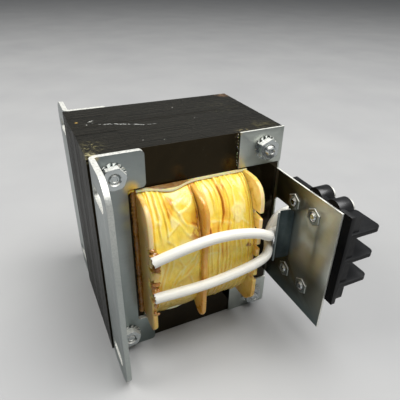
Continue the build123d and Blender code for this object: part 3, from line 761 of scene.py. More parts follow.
screw_objs, nut_objs, wash_objs = [], [], []
for i, (x, z) in enumerate(HOLES):
    f = FRONT[i]
    left = x < 0
    proud = -0.25 if left else 2.0
    # toothed washer
    bm = bmesh.new()
    M4 = to_front(x, f, z)
    lathe(bm, [(0.05, 2.6), (0.05, 4.35), (0.55, 4.40), (0.55, 2.6)], 48, M4)
    nt = 15
    for k in range(nt):
        a = 2 * math.pi * (k + 0.3 * i) / nt
        w = 2 * math.pi / nt * 0.36
        ro = 5.95
        lo_, hi_ = 0.0, 1.35
        prof = []
        for (da, r, zl, zh) in ((-w, 4.2, 0.06, 0.55), (w, 4.2, 0.06, 0.55), (w * 0.82, ro, 0.50, hi_), (-w * 0.82, ro, lo_, 0.50)):
            prof.append((Vector((r * math.cos(a + da), r * math.sin(a + da), zl)), Vector((r * math.cos(a + da), r * math.sin(a + da), zh))))
        lowv = [bm.verts.new(M4 @ (p[0] * MM)) for p in prof]
        topv = [bm.verts.new(M4 @ (p[1] * MM)) for p in prof]
        bm.faces.new(lowv[::-1])
        bm.faces.new(topv)
        for j in range(4):
            j2 = (j + 1) % 4
            bm.faces.new((lowv[j], lowv[j2], topv[j2], topv[j]))
    wash_objs.append(bm_to("tooth_washer_%d" % (i + 1), bm, HARD, 30))
    # nut
    bm = bmesh.new()
    turn = math.radians((12, 8, 40, 25)[i])
    M4 = to_front(x, f - 0.75, z)
    hx = hexr(9.5, turn)
    rings = [(0.0, 2.45), (0.0, lim(hx, 4.80)), (0.22, lim(hx, 5.25)), (0.35, hx), (3.20, hx), (3.36, lim(hx, 5.26)), (3.45, lim(hx, 5.06)),
             (3.46, lim(hx, 4.96)), (3.46, 3.6), (3.46, 2.92), (3.38, 2.84), (2.95, 2.42), (2.5, 2.30), (0.6, 2.30)]
    lathe(bm, rings, 96, M4)
    nut_objs.append(bm_to("keps_nut_%d" % (i + 1), bm, HARD, 24))
    # screw: threaded end, hidden shank, head at the rear
    bm = bmesh.new()
    end = 3.45 + proud - 0.0
    rings = [(-1.0, 2.15)] + thread(2.42, 0.46, 0.9, 0.0, end - 0.35) + [(end - 0.30, 2.20), (end - 0.02, 1.80), (end + 0.03, 1.45), (end + 0.02, 1.25), (end - 0.28, 1.05), (end - 0.32, 0.02)]
    lathe(bm, rings, 40, M4)
    back = YB + (2.4 if left else 1.0)
    Mb = to_back(x, back, z)
    hb = hexr(9.5, math.radians(6 * i))
    shank = (YB - YF) + 3
    rings = [(-shank, 2.15), (0.0, 2.15), (0.0, 4.5), (0.25, lim(hb, 4.7)), (0.3, hb), (2.6, hb), (2.85, lim(hb, 5.2)), (3.05, lim(hb, 4.75)), (3.15, 4.2),
             (3.15, 3.3), (2.95, 3.1), (2.9, 0.02)]
    lathe(bm, rings, 96, Mb)
    screw_objs.append(bm_to("core_screw_%d" % (i + 1), bm, HARD, 24))
for o in screw_objs:
    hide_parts("core_screws")
for o in nut_objs:
    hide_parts("keps_nuts")
for o in wash_objs:
    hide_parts("tooth_washers")
dressed("rear_flat_washers", HARD, 0.18, 2)

# ------------------------------------------------------------------ clinch nuts in the plate, with the screw ends in them
for k, (dy, z) in enumerate([(y, z) for y in (17.2, 32.4) for z in (37.5, 80.3)]):
    bm = bmesh.new()
    Ml = to_left(XR + 0.95, YF - dy, z)
    hx = hexr(8.0, math.radians(30))
    rings = [(0.02, 2.0), (0.02, hexr(7.9, math.radians(30))), (0.95, hexr(7.9, math.radians(30))), (0.97, hx), (1.20, hx), (1.40, lim(hexr(7.4, math.radians(30)), 4.25)),
             (1.44, 3.2), (1.44, 2.72), (1.56, 2.6), (1.56, 2.35), (1.30, 2.08), (0.3, 2.05)]
    lathe(bm, rings, 96, Ml)
    o = bm_to("clinch_nut_%d" % (k + 1), bm, PLATE, 22)
    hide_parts("clinch_nuts")
    bm = bmesh.new()
    lathe(bm, [(0.955, hexr(7.6, math.radians(30))), (0.975, hexr(7.7, math.radians(30))), (0.975, hexr(8.5, math.radians(30))), (0.945, hexr(8.55, math.radians(30)))], 96, Ml)
    bm_to("clinch_groove_%d" % (k + 1), bm, GROOVE, 22)
    bm = bmesh.new()
    tip = 2.05
    rings = [(-3.6, 1.9)] + thread(1.98, 0.22, 0.7, -0.6, tip - 0.3) + [(tip - 0.25, 1.72), (tip, 1.40), (tip + 0.01, 0.9), (tip - 0.06, 0.02)]
    lathe(bm, rings, 36, Ml)
    Mr = to_right(XR + 0.95 + 4.0, YF - dy, z)
    rings = [(-0.4, 1.9), (0.0, 1.95), (0.0, 3.45), (0.15, 3.6), (0.8, 3.55), (1.35, 3.25), (1.7, 2.7), (1.9, 1.6), (1.95, 0.02)]
    lathe(bm, rings, 40, Mr)
    o = bm_to("block_screw_%d" % (k + 1), bm, HARD, 30)
    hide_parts("block_screws")

# ------------------------------------------------------------------ bobbin
dressed("bobbin_tube", RESIN, 0.2, 2)
TUBE = [(-32.2, 36.4), (32.2, 36.4), (32.2, 77.9), (-32.2, 77.9)]


def mirror(front):
    """front outline from top to bottom at -Y; the same at +Y, closed"""
    back = [(-y, z) for y, z in front[::-1]]
    return front + back


def flange(name, node, front, x0, x1, bevel=0.55):
    loops = [mirror(front), TUBE[::-1]]
    o = plate_x(name, loops, x0, x1, bevel, RESIN)
    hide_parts(node)
    return o


def lugs(reach, top, cuts, tip, tipr=3.5):
    """front edge of a flange: rounded top lobe, stepped lugs, rounded foot"""
    pts = list(top)
    rad = [0.0] * len(pts)
    for za, zb, inner in cuts:                            # notch from za down to zb
        pts += [(-reach, za), (-inner, za - 0.5), (-inner + 0.2, zb + 0.4), (-reach, zb)]
        rad += [0.7, 0.9, 0.9, 0.9]
    pts += tip
    rad += [tipr] * len(tip)
    return round_poly(pts, rad, 4)


topR = [(-31.0, 94.6), (-36.5, 94.9), (-41.0, 94.8), (-44.2, 94.0), (-47.0, 92.2), (-48.9, 89.5), (-49.9, 86.0), (-50.1, 82.6)]
fr = lugs(50.1, topR, ((79.6, 76.4, 43.5), (70.6, 66.8, 44.0), (61.2, 58.6, 45.0), (53.8, 46.4, 45.5), (41.2, 37.8, 46.0)),
          [(-50.0, 30.0), (-49.4, 25.5), (-44.0, 19.9), (-36.0, 18.2), (-31.0, 19.9)])
# keep the foot inside the node's own height
fr = [(y, max(z, 19.0)) for y, z in fr]
fr = round_poly([p for i, p in enumerate(fr) if i == 0 or (Vector(p) - Vector(fr[i - 1])).length > 0.05], 0.0)
flange("flange_right", "bobbin_flange_right", fr, 26.1, 28.4)

topM = [(-31.0, 93.4), (-35.0, 93.4), (-40.5, 92.9), (-44.5, 91.6), (-47.4, 89.2), (-48.9, 85.6), (-49.4, 80.5)]
fm = topM + [(-49.5, 60.0), (-49.6, 40.0), (-49.5, 28.5), (-49.2, 25.4), (-48.0, 23.0), (-46.0, 21.7), (-43.8, 21.6), (-41.6, 22.6), (-37.5, 26.2), (-31.0, 28.2)]


def wavy(name, node, front, x0, x1, amp):
    o = flange(name, node, front, x0, x1, 0.7)
    me = o.data
    for v in me.vertices:                                  # the thin flange is not quite flat along its front
        y, z = v.co.y / MM, v.co.z / MM
        if abs(y) > 33:
            k = min(1.0, (abs(y) - 33) / 9)
            v.co.x += MM * k * amp * (0.95 * math.exp(-((z - 82.5) / 6.5) ** 2) - 0.9 * math.exp(-((z - 94.5) / 3.2) ** 2)) * (1 if y < 0 else -0.6)
    me.update()
    return o


wavy("flange_middle", "bobbin_flange_middle", fm, -2.75, -0.45, 1.0)

topL = [(-31.0, 93.4), (-35.5, 93.4), (-39.6, 92.8), (-42.9, 91.2), (-45.2, 88.6), (-46.6, 85.0), (-47.1, 80.0)]
fl = lugs(47.3, topL, ((72.6, 70.4, 44.0), (62.3, 60.2, 43.6), (54.6, 49.6, 43.4), (44.0, 41.4, 44.2)),
          [(-46.6, 36.0), (-46.4, 32.8), (-47.4, 31.6), (-47.4, 23.5), (-44.5, 19.4), (-37.0, 19.4), (-31.0, 21.0)], 2.2)
flange("flange_left", "bobbin_flange_left", fl, -28.5, -26.0, 0.8)


# ------------------------------------------------------------------ windings
def profile(n, a=17.1, b=31.15, flat=5.5, expo=1.85):
    """outline of the winding in (Y, Z), evenly spaced, from the middle of the front over the top"""
    raw = []
    for sy, sz, rev in ((-1, 1, False), (1, 1, True), (1, -1, False), (-1, -1, True)):
        seg = []
        for k in range(41):
            t = math.pi / 2 * k / 40
            c, s = abs(math.cos(t)) ** (2 / expo), math.sin(t) ** (2 / expo)
            seg.append((sy * (30.5 + a * c), ZM + sz * (flat + b * s)))
        raw += seg[::-1] if rev else seg
    raw.append(raw[0])
    acc = [0.0]
    for p, q in zip(raw, raw[1:]):
        acc.append(acc[-1] + math.dist(p, q))
    total = acc[-1]
    out, j = [], 0
    for i in range(n):
        t = total * i / n
        while acc[j + 1] < t:
            j += 1
        u = (t - acc[j]) / max(1e-9, acc[j + 1] - acc[j])
        out.append((raw[j][0] + u * (raw[j + 1][0] - raw[j][0]), raw[j][1] + u * (raw[j + 1][1] - raw[j][1])))
    nrm = []
    for i in range(n):
        t = Vector(out[(i + 1) % n]) - Vector(out[i - 1])
        t.normalize()
        nv = Vector((t.y, -t.x))
        c = Vector(out[i]) - Vector((0, ZM))
        if nv.dot(c) < 0:
            nv = -nv
        nrm.append(nv)
    return out, nrm, total


def vn(x, y, seed):
    """smooth noise over arrays, -1 to 1"""
    tab = np.random.RandomState(seed).rand(64, 64)
    xi, yi = np.floor(x).astype(int), np.floor(y).astype(int)
    fx, fy = x - xi, y - yi
    fx, fy = fx * fx * (3 - 2 * fx), fy * fy * (3 - 2 * fy)
    a, b = tab[xi % 64, yi % 64], tab[(xi + 1) % 64, yi % 64]
    c, d = tab[xi % 64, (yi + 1) % 64], tab[(xi + 1) % 64, (yi + 1) % 64]
    return 2 * ((a * (1 - fx) + b * fx) * (1 - fy) + (c * (1 - fx) + d * fx) * fy) - 1


def sstep(v, a, b):
    u = np.clip((v - a) / (b - a), 0, 1)
    return u * u * (3 - 2 * u)


def poly_dist(x, s, pts):
    """distance to a polyline, and which side of it"""
    best = np.full(x.shape, 1e9)
    side = np.zeros(x.shape)
    for (x0, s0), (x1, s1) in zip(pts, pts[1:]):
        dx, ds = x1 - x0, s1 - s0
        t = np.clip(((x - x0) * dx + (s - s0) * ds) / (dx * dx + ds * ds), 0, 1)
        ex, es = x - x0 - t * dx, s - s0 - t * ds
        d = np.hypot(ex, es)
        cr = np.sign(dx * es - ds * ex)
        side = np.where(d < best, cr, side)
        best = np.minimum(d, best)
    return best, side


class Tape:
    """height, painted ridge highlight and shade, and amber stain over one winding, all arrays"""

    def __init__(self, x, s, seed):
        self.x, self.s, self.seed = x, s, seed
        self.h = np.zeros(x.shape)
        self.f = np.full(x.shape, 0.5)
        self.a = np.zeros(x.shape)

    def seam(self, pts, depth=0.35, w=0.32, step=0.25, amber=0.4, span=None, ridge=0.3, stain=0.0):
        """an edge of tape that runs round the coil: X given at several heights s"""
        pts = sorted((s, x) for x, s in pts)
        xs = np.interp(self.s, [p[0] for p in pts], [p[1] for p in pts])
        xs = xs + 0.28 * vn(self.s * 0.16, self.s * 0, self.seed + int(abs(pts[0][1]) * 7))
        d = self.x - xs
        k = 1.0
        if span:
            k = sstep(self.s, span[0] - 2.5, span[0] + 2.5) * (1 - sstep(self.s, span[1] - 2.5, span[1] + 2.5))
        k = k * (0.75 + 0.35 * vn(self.s * 0.10, self.s * 0 + 3, self.seed + int(abs(pts[0][1]) * 13)))
        self.h -= k * depth * np.exp(-(d / w) ** 2)
        self.h += k * step * np.exp(-np.clip(d, 0, None) / 1.5) * (d > 0)
        self.h += k * ridge * np.exp(-((d - 0.75) / 0.5) ** 2)
        self.f += k * (0.45 * np.exp(-((d - 0.8) / 0.45) ** 2) - 0.25 * np.exp(-(d / 0.3) ** 2))
        self.a += 0.75 * k * amber * np.exp(-((d + 0.10) / (w * 1.35)) ** 2)
        if stain:
            self.a += k * stain * np.exp(-np.clip(d, 0, None) / 1.3) * sstep(d, -0.6, 0.1) * (0.6 + 0.5 * vn(self.x * 0.3, self.s * 0.12, self.seed + 3))

    def crease(self, pts, h=0.45, w=0.55, amber=0.3, side=1):
        """a sharp fold: raised lip on one side, shadowed on the other"""
        d, sd = poly_dist(self.x, self.s, pts)
        v = d * sd * side
        self.h += h * np.exp(-np.abs(v) / w) * np.where(v > 0, 1.0, 0.55)
        self.h -= 0.4 * h * np.exp(-((v + 0.9) / 0.6) ** 2)
        self.f += 0.42 * np.exp(-((v - 0.35) / 0.6) ** 2)
        self.a += 0.62 * amber * np.exp(-((v + 0.8) / 0.55) ** 2)

    def patch(self, c, r, amber=0.0, pale=0.0, h=0.0, seed=0):
        wob = 1 + 0.35 * vn(self.x * 0.35, self.s * 0.35, self.seed + 40 + seed)
        d = np.hypot((self.x - c[0]) / r[0], (self.s - c[1]) / r[1]) * wob
        k = 1 - sstep(d, 0.55, 1.15)
        self.a += amber * k
        # pale raises the painted ridge highlight
        self.f += pale * k
        self.h += h * k


def winding(name, node, x0, x1, paint, nx, ns, seed):
    prof, nrm, total = profile(ns)
    xs = x0 + (x1 - x0) * np.arange(nx + 1) / nx
    ss = total * np.arange(ns) / ns
    ss = np.where(ss > total / 2, ss - total, ss)
    X, S = np.meshgrid(xs, ss, indexing="ij")
    rear = np.abs(S) > total / 4
    Xe = np.where(rear, x0 + x1 - X, X)
    Se = np.where(rear, np.where(S > 0, total / 2 - S, -total / 2 - S) * -1.0, S)
    tp = Tape(Xe, Se, seed)
    paint(tp)
    tp.h += 0.06 * vn(Xe * 1.1, Se * 0.55, seed + 60) + 0.025 * vn(Xe * 3.1, Se * 1.4, seed + 61)
    edge = np.minimum(X - x0, x1 - X) / 1.2
    drop = -0.8 * np.clip(1 - edge, 0, 1) ** 2
    P = np.array(prof)
    N = np.array([(v.x, v.y) for v in nrm])
    inside = np.abs(P[:, 0]) < 31.2
    hh = tp.h - 0.28
    hh = np.where(inside[None, :], np.minimum(hh * 0.3, 0.0), np.clip(hh, -1.6, 0.85)) + drop
    bm = bmesh.new()
    lf = bm.verts.layers.float.new("fold")
    la = bm.verts.layers.float.new("amber")
    rows = []
    for i in range(nx + 1):
        row = []
        for k in range(ns):
            v = bm.verts.new((X[i, k] * MM, (P[k, 0] + N[k, 0] * hh[i, k]) * MM, (P[k, 1] + N[k, 1] * hh[i, k]) * MM))
            v[lf] = float(min(1.0, max(0.0, tp.f[i, k])))
            v[la] = float(min(1.0, max(0.0, tp.a[i, k])))
            row.append(v)
        rows.append(row)
    for a, b in zip(rows, rows[1:]):
        for k in range(ns):
            j = (k + 1) % ns
            bm.faces.new((a[k], a[j], b[j], b[k]))
    for row, x, flip in ((rows[0], x0, False), (rows[-1], x1, True)):
        inner = []
        for v in row:
            y = max(-32.3, min(32.3, v.co.y / MM * 0.62))
            z = ZM + max(-20.9, min(20.9, (v.co.z / MM - ZM) * 0.62))
            w = bm.verts.new((x * MM, y * MM, z * MM))
            w[lf] = 0.4
            w[la] = 0.6
            inner.append(w)
        for k in range(ns):
            j = (k + 1) % ns
            fs = (row[k], row[j], inner[j], inner[k])
            bm.faces.new(fs if flip else fs[::-1])
    o = bm_to(name, bm, TAPE, 75)
    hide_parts(node)
    return o


def straps(t):
    """narrow tape in overlapping turns: soft vertical straps with varnish in the seams"""
    t.seam([(3.3, 36), (5.1, 30), (5.6, 25), (5.0, 20)], 0.35, 0.35, 0.25, 0.45, (20, 60), 0.25)
    t.seam([(6.3, 36), (7.5, 30), (7.7, 24), (6.8, 16), (5.9, 11), (5.6, 4.6), (6.2, -3.7), (6.1, -12.4), (6.4, -31)], 0.38, 0.30, 0.28, 0.38)
    t.seam([(8.8, 36), (9.7, 29), (10.1, 24), (9.5, 18), (8.1, 13), (8.1, 4.3), (8.7, -4.5), (8.6, -12.5), (8.9, -31)], 0.45, 0.42, 0.30, 0.62, None, 0.3, 0.30)
    t.seam([(12.3, 36), (12.8, 30.5), (13.4, 24), (12.9, 17), (11.5, 11), (10.0, 4.4), (10.8, -4.4), (10.5, -12), (11.0, -31)], 0.50, 0.38, 0.35, 0.55, None, 0.3, 0.15)
    t.seam([(14.8, 37), (16.1, 30), (15.8, 24), (15.2, 16.5), (13.9, 9), (12.2, 3.8), (12.9, -4.3), (12.9, -12.3), (13.6, -31)], 0.35, 0.30, 0.25, 0.25)
    t.seam([(2.2, 18), (2.0, 12), (2.3, 4.2), (2.7, -3.3), (2.8, -12.9), (3.2, -31)], 0.38, 0.30, 0.28, 0.30, (-60, 14), 0.3)
    t.seam([(17.0, 37), (18.6, 30), (18.4, 20), (16.4, 10), (14.8, 3.5), (15.7, -4.4), (15.5, -11.9), (16.2, -31)], 0.32, 0.30, 0.28, 0.30, (-60, 10), 0.3)
    t.seam([(19.4, 30), (18.9, 12), (17.4, 3.1), (18.5, -3.7), (18.4, -11.7), (19.3, -31)], 0.36, 0.30, 0.30, 0.34, (-60, 12), 0.3)
    t.seam([(22.0, 30), (21.8, 12), (20.6, 1.8), (21.7, -4.7), (21.7, -11.1), (22.3, -31)], 0.36, 0.30, 0.30, 0.34, (-60, 14), 0.3)
    t.seam([(23.4, 37), (23.6, 30), (24.2, 24), (24.0, 17), (23.3, 6), (23.6, -8), (24.0, -31)], 0.55, 0.26, 0.20, 0.75, None, 0.25)
    t.seam([(24.9, 37), (25.1, 20), (25.0, -31)], 0.45, 0.24, 0.15, 0.70, None, 0.2)
    t.seam([(0.6, 36), (0.9, 10), (0.9, -31)], 0.35, 0.30, 0.20, 0.40, None, 0.2)
    t.crease([(18.2, 37), (19.3, 29.8), (20.6, 29.0)], 0.30, 0.6, 0.15)
    t.crease([(15.3, 19.6), (17.0, 21.0), (19.2, 20.0), (19.8, 17.4), (17.9, 15.6), (15.6, 16.4), (15.3, 19.6)], 0.22, 0.6, 0.10)
    t.crease([(14.5, 15), (16.6, 12.5), (19.5, 13.4), (22.4, 10.5)], 0.20, 0.7, 0.10)
    t.crease([(20.0, 26), (21.6, 22), (21.0, 17)], 0.20, 0.7, 0.08)
    t.crease([(1.0, 16.6), (6.8, 15.8), (10.6, 14.5), (13.3, 13.5)], 0.26, 0.5, 0.30, -1)
    t.crease([(1.2, -0.6), (3.4, -0.5), (5.4, -1.2)], 0.26, 0.5, 0.25, -1)
    t.patch((10.8, 27.0), (2.0, 10.0), amber=0.42)
    t.patch((4.5, 33.0), (2.5, 6.0), pale=0.35)
    t.patch((3.0, 24.0), (2.2, 7.0), pale=0.30)
    t.patch((17.6, 18.3), (4.0, 5.0), pale=0.38, h=0.1)
    t.patch((21.0, 29.0), (3.0, 7.0), pale=0.20)
    t.patch((12.0, 8.5), (3.0, 6.5), amber=0.25)
    t.patch((4.4, 12.5), (3.6, 3.6), amber=0.40)
    t.patch((1.5, 22.0), (1.4, 13.0), amber=0.45)
    t.h += 0.26 * vn(t.x * 0.42 + 3, t.s * 0.045, t.seed) + 0.14 * vn(t.x * 0.9, t.s * 0.08, t.seed + 1)
    t.f += 0.20 * vn(t.x * 0.8 + 3, t.s * 0.06, t.seed + 2)


def crumpled(t):
    """wide tape: a few long folds by the left flange, slanting crumples beyond"""
    t.seam([(-24.6, 36), (-24.5, 29), (-24.8, 23), (-25.3, 15), (-25.4, 7), (-25.0, -31)], 0.5, 0.28, 0.2, 0.60, None, 0.3)
    t.seam([(-22.4, 36), (-22.6, 29), (-22.4, 22), (-22.7, 14)], 0.30, 0.40, 0.28, 0.22, (14, 60), 0.35)
    t.seam([(-20.1, 35), (-19.9, 29), (-19.4, 24), (-19.2, 19), (-19.3, 12)], 0.40, 0.40, 0.30, 0.30, (11, 60), 0.4)
    t.seam([(-18.1, 35), (-18.0, 30), (-17.3, 25), (-17.2, 20)], 0.35, 0.40, 0.25, 0.35, (19, 60), 0.3)
    t.seam([(-3.4, 36), (-3.2, 20), (-3.6, 5), (-3.4, -31)], 0.45, 0.35, 0.15, 0.70, None, 0.2)
    t.crease([(-21.7, 34), (-21.9, 29), (-21.6, 25), (-20.9, 22.3), (-21.5, 20.2), (-22.8, 21.8)], 0.38, 0.5, 0.22)
    t.crease([(-17.6, 33), (-16.3, 30.4), (-14.1, 27.6), (-10.8, 28.7), (-6.6, 31.5)], 0.50, 0.7, 0.35, -1)
    t.crease([(-14.1, 28.2), (-13.7, 25.8), (-12.2, 23.2), (-11.0, 20.0)], 0.40, 0.6, 0.30)
    t.crease([(-16.9, 25.5), (-15.5, 21.9), (-13.0, 18.7), (-15.3, 16.3), (-18.6, 14.0)], 0.42, 0.6, 0.32, -1)
    t.crease([(-12.1, 23.4), (-8.9, 24.2), (-6.0, 25.9), (-4.4, 29.5)], 0.48, 0.7, 0.38, -1)
    t.crease([(-11.0, 20.0), (-9.0, 17.2), (-6.0, 16.4), (-3.6, 15.0)], 0.46, 0.6, 0.50, -1)
    t.crease([(-13.0, 18.7), (-9.5, 12.5), (-5.5, 8.6)], 0.28, 0.9, 0.12)
    t.crease([(-19.3, 11.5), (-16.2, 9.0), (-15.0, 5.0)], 0.30, 0.7, 0.20)
    t.crease([(-4.6, 0.6), (-6.5, -5.7), (-10.4, -9.8), (-15.0, -12.1), (-18.5, -17.0)], 0.50, 0.7, 0.42)
    t.crease([(-5.2, 3.0), (-9.1, -2.5), (-13.0, -5.8), (-16.9, -10.6), (-18.6, -14.5)], 0.45, 0.7, 0.35)
    t.crease([(-19.4, 2.8), (-20.1, -2.6), (-21.2, -6.7), (-22.9, -12.3), (-23.8, -17.0)], 0.46, 0.5, 0.62)
    t.crease([(-14.2, 0.6), (-11.7, -4.7), (-13.2, -9.4)], 0.36, 0.6, 0.25)
    t.crease([(-23.7, 1.0), (-23.6, -5.1), (-24.4, -12.0)], 0.34, 0.5, 0.45)
    t.crease([(-17.2, 3.0), (-17.8, -3.5), (-19.8, -9.5)], 0.30, 0.7, 0.25)
    t.crease([(-8.4, -12.0), (-7.0, -17.0), (-4.8, -22.0)], 0.36, 0.7, 0.30)
    t.crease([(-14.0, -15.5), (-12.0, -21.0), (-12.4, -27.0)], 0.36, 0.7, 0.30)
    t.crease([(-21.5, -17.0), (-19.5, -23.0), (-19.8, -29.0)], 0.36, 0.7, 0.30)
    t.patch((-16.0, 27.0), (3.2, 6.5), amber=0.42)
    t.patch((-5.2, 19.0), (2.4, 6.5), amber=0.50)
    t.patch((-8.5, 20.5), (2.6, 3.0), amber=0.25)
    t.patch((-5.0, 34.0), (3.0, 4.0), amber=0.25)
    t.patch((-12.5, 32.5), (5.0, 4.0), pale=0.30)
    t.patch((-15.2, 19.4), (2.6, 3.4), pale=0.42, h=-0.1)
    t.patch((-9.5, 9.0), (6.0, 6.0), pale=0.32)
    t.patch((-7.6, 28.0), (3.0, 3.0), pale=0.38)
    t.patch((-23.2, 28.0), (1.1, 9.0), pale=0.30)
    t.patch((-20.6, 8.0), (2.4, 6.0), pale=0.28)
    t.patch((-22.6, -8.0), (1.0, 8.0), pale=0.30)
    t.patch((-9.0, -9.0), (3.0, 3.5), amber=0.18)
    t.h += 0.34 * vn(t.x * 0.20 + 2, t.s * 0.15, t.seed) + 0.16 * vn(t.x * 0.42, t.s * 0.33, t.seed + 1)
    t.f += 0.22 * vn(t.x * 0.33 + 3, t.s * 0.25, t.seed + 2)


NXW, NSW = ((120, 440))
winding("winding_left_tape", "winding_left", -26.2, -2.6, crumpled, NXW, NSW, 4)
winding("winding_right_tape", "winding_right", -0.6, 26.2, straps, NXW + 20, NSW, 12)


# ------------------------------------------------------------------ insulation sheets at the top and bottom of the coil
def slot_sheet(name, node, top):
    bm = bmesh.new()
    half = [0.0, 0.12, 0.28, 0.45, 0.65, 0.9, 1.25, 1.7, 2.3, 3.1, 4.2, 6.0, 9.0, 13.0, 18.0, 24.0]
    nx, ny = 110, 2 * len(half)
    t = 0.75

    def g(x):
        return math.exp(-((x + 12.6) / 7.6) ** 2)

    def front(x):
        return -31.7 - 3.1 * g(x) + 0.05 * math.sin(x * 0.5)

    def lift(x, y):
        edge = front(x)
        u = max(0.0, min(1.0, (-y - 29.6) / max(0.1, (-edge - 29.6))))
        return -(0.02 + 1.05 * g(x)) * u ** 1.5
    grids = []
    for side in (0, 1):
        grid = []
        for i in range(nx + 1):
            x = -28.4 + 56.8 * i / nx
            row = []
            for j in range(ny + 1):
                yf = front(x)
                e = half[j] if j < len(half) else (None if j == len(half) else half[ny - j])
                y = 0.0 if e is None else (yf + e if j < len(half) else -yf - e)
                yy = y if y < 0 else -y
                curl = 0.0 if e is None else max(0.0, 1.0 - e / 0.65) ** 0.6
                z = 94.95 - t * side + lift(x, yy) + (0.34 if side == 0 else -0.18) * curl
                if not top:
                    z = H - z
                row.append(bm.verts.new((x * MM, y * MM, z * MM)))
            grid.append(row)
        grids.append(grid)
    for side, grid in enumerate(grids):
        for i in range(nx):
            for j in range(ny):
                q = (grid[i][j], grid[i + 1][j], grid[i + 1][j + 1], grid[i][j + 1])
                bm.faces.new(q if side == 0 else q[::-1])
    a, b = grids
    for i in range(nx):
        bm.faces.new((a[i][0], b[i][0], b[i + 1][0], a[i + 1][0]))
        bm.faces.new((a[i + 1][ny], b[i + 1][ny], b[i][ny], a[i][ny]))
    for j in range(ny):
        bm.faces.new((a[0][j + 1], b[0][j + 1], b[0][j], a[0][j]))
        bm.faces.new((a[nx][j], b[nx][j], b[nx][j + 1], a[nx][j + 1]))
    o = bm_to(name, bm, FILM, 40)
    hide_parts(node)
    return o


slot_sheet("slot_sheet_upper", "upper_slot_sheet", True)
slot_sheet("slot_sheet_lower", "lower_slot_sheet", False)


# ------------------------------------------------------------------ varnish beads where the winding ends leave the left flange
def beads(name, seed, items, mat):
    """items: centre (mm), radii (mm)"""
    rnd = random.Random(seed)
    bm = bmesh.new()
    for c, r in items:
        mtx = Matrix.Translation(Vector(c) * MM)
        res = bmesh.ops.create_icosphere(bm, subdivisions=4, radius=1.0, matrix=Matrix.Identity(4))
        s = rnd.uniform(0, 50)
        for v in res["verts"]:
            d = v.co.normalized()
            k = 1 + 0.26 * noise.noise(d * 1.6 + Vector((s, 0, 0))) + 0.12 * noise.noise(d * 4.0 + Vector((0, s, 0)))
            v.co = mtx @ Vector((d.x * r[0] * k * MM, d.y * r[1] * k * MM, d.z * r[2] * k * MM))
    me = bpy.data.meshes.new(name + "_m")
    bm.to_mesh(me)
    bm.free()
    o = bpy.data.objects.new(name + "_tmp", me)
    scene.collection.objects.link(o)
    md = o.modifiers.new("r", "REMESH")
    md.mode = "VOXEL"
    md.voxel_size = 0.00022
    sm = o.modifiers.new("s", "SMOOTH")
    sm.factor = 0.6
    sm.iterations = 4
    out = bpy.data.meshes.new_from_object(o.evaluated_get(bpy.context.evaluated_depsgraph_get()))
    bpy.data.objects.remove(o)
    for p in out.polygons:
        p.use_smooth = True
    return add(name, out, mat)


beads("wire_end_beads", 5, [
    ((-26.6, -47.6, 69.8), (2.3, 1.7, 1.6)), ((-25.9, -48.1, 66.4), (2.2, 1.9, 1.9)), ((-25.9, -48.2, 63.2), (1.9, 1.6, 1.7)),
    ((-27.3, -47.1, 72.4), (1.5, 1.1, 1.0)), ((-25.4, -47.9, 60.6), (1.5, 1.1, 1.1)),
    ((-26.2, -47.6, 52.9), (2.1, 1.5, 1.4)), ((-26.7, -47.7, 48.9), (2.1, 1.9, 1.8)), ((-26.0, -48.0, 45.7), (2.3, 1.9, 1.9)),
    ((-25.5, -47.9, 42.4), (1.6, 1.3, 1.2)), ((-27.3, -46.9, 51.0), (1.3, 1.2, 1.5)),
    ((-27.4, -47.2, 34.4), (0.9, 0.7, 0.8)), ((-26.2, -47.4, 33.2), (1.3, 0.7, 0.7)), ((-26.9, -47.5, 38.9), (0.8, 0.6, 1.3))], BEAD)
beads("wire_end_beads_pale", 9, [
    ((-26.0, -47.9, 58.6), (2.0, 1.6, 1.8)), ((-25.8, -47.7, 55.8), (1.9, 1.5, 1.7)), ((-26.7, -47.1, 57.4), (1.8, 1.2, 2.4))],
    RESIN)
beads("varnish_runs", 13, [
    ((-4.0, -45.0, 79.5), (0.5, 0.5, 2.6)), ((-3.7, -46.6, 74.5), (0.45, 0.45, 1.6)), ((-4.1, -43.5, 82.6), (0.45, 0.4, 1.2)),
    ((-3.8, -47.2, 70.2), (0.45, 0.4, 1.1)), ((23.9, -47.3, 60.5), (0.9, 0.55, 1.1))], BEAD)

rb = random.Random(21)
beads("ear_edge_varnish", 22, [((22.75 + rb.uniform(-0.25, 0.25), -31.05, z + rb.uniform(-0.3, 0.3)), (rb.uniform(0.18, 0.30), 0.3, rb.uniform(0.2, 0.42)))
                               for z in (113.4, 111.9, 110.6, 109.2, 107.6, 106.2, 104.6, 103.4, 101.9, 100.6, 99.2, 97.6)], SPECK)
beads("corner_varnish", 31, [((-31.6, -31.3, 95.2), (1.6, 0.9, 1.2)), ((-30.2, -31.5, 95.4), (1.3, 0.9, 0.9)), ((-32.7, -31.6, 93.6), (0.7, 0.9, 1.8)),
                             ((-32.9, -31.8, 90.4), (0.45, 0.7, 2.0))], TAPE_RESIN)
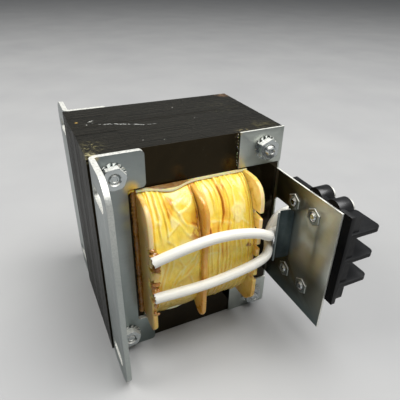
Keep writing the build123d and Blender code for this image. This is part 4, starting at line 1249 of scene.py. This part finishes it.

# painted light: brown beads plug the gap between the left bracket and the left flange at the core face, standing in for
# the flange face lit through its translucency deep in the gap
rb = random.Random(8)
beads("gap_painted_light_strip", 17, [((-29.35 + rb.uniform(-0.12, 0.12), -30.5, 22.0 + 2.05 * i), (1.45, 0.95, 1.8)) for i in range(36)], GAP_PAINTED_LIGHT)

# ------------------------------------------------------------------ terminal block
dressed("terminal_block", BLOCK, 0.32, 2)
dressed("terminal_bars", BRASS, 0.14, 2)
dressed("terminal_screws", NICKEL, 0.18, 2)
dressed("lobe_screws", PALE_HEAD, 0.22, 2)
dressed("ring_terminals", NICKEL, 0.1, 2)

# ------------------------------------------------------------------ floor and light
fl_m = Mat("floor_pale")
fn = fl_m.noise(9.0, 4.0, 0.55)
fl_m.set(Base_Color=fl_m.ramp(fn, [(0.3, (0.375, 0.375, 0.375)), (0.7, (0.41, 0.41, 0.405))]), Roughness=fl_m.rng(fn, 0.3, 0.7, 0.78, 0.9))
bm = bmesh.new()
bmesh.ops.create_grid(bm, x_segments=2, y_segments=2, size=3.0)
me = bpy.data.meshes.new("floor")
bm.to_mesh(me)
bm.free()
floor = bpy.data.objects.new("floor", me)
scene.collection.objects.link(floor)
me.materials.append(fl_m.m)
floor.location.z = -0.0001


def area(name, loc, aim, size, power, color=(1, 1, 1), shape="SQUARE", size_y=None):
    d = bpy.data.lights.new(name, "AREA")
    d.energy = power
    d.color = color
    d.shape = "RECTANGLE" if size_y else shape
    d.size = size
    if size_y:
        d.size_y = size_y
    o = bpy.data.objects.new(name, d)
    scene.collection.objects.link(o)
    o.location = loc
    o.rotation_mode = "QUATERNION"
    o.rotation_quaternion = (Vector(aim) - Vector(loc)).to_track_quat("-Z", "Y")
    return o


area("key", (-1.15, 0.30, 0.95), (0, 0, 0.05), 0.8, 15.0, (1.0, 0.99, 0.97))
area("top", (0.36, -0.34, 1.5), (0, 0, 0.05), 1.15, 34.0)
w = bpy.data.worlds.new("studio")
scene.world = w
w.use_nodes = True
bg = w.node_tree.nodes["Background"]
bg.inputs[0].default_value = (0.80, 0.83, 0.86, 1.0)
bg.inputs[1].default_value = 0.20
scene.view_settings.view_transform = "Standard"
scene.view_settings.look = "None"

bpy.context.view_layer.update()
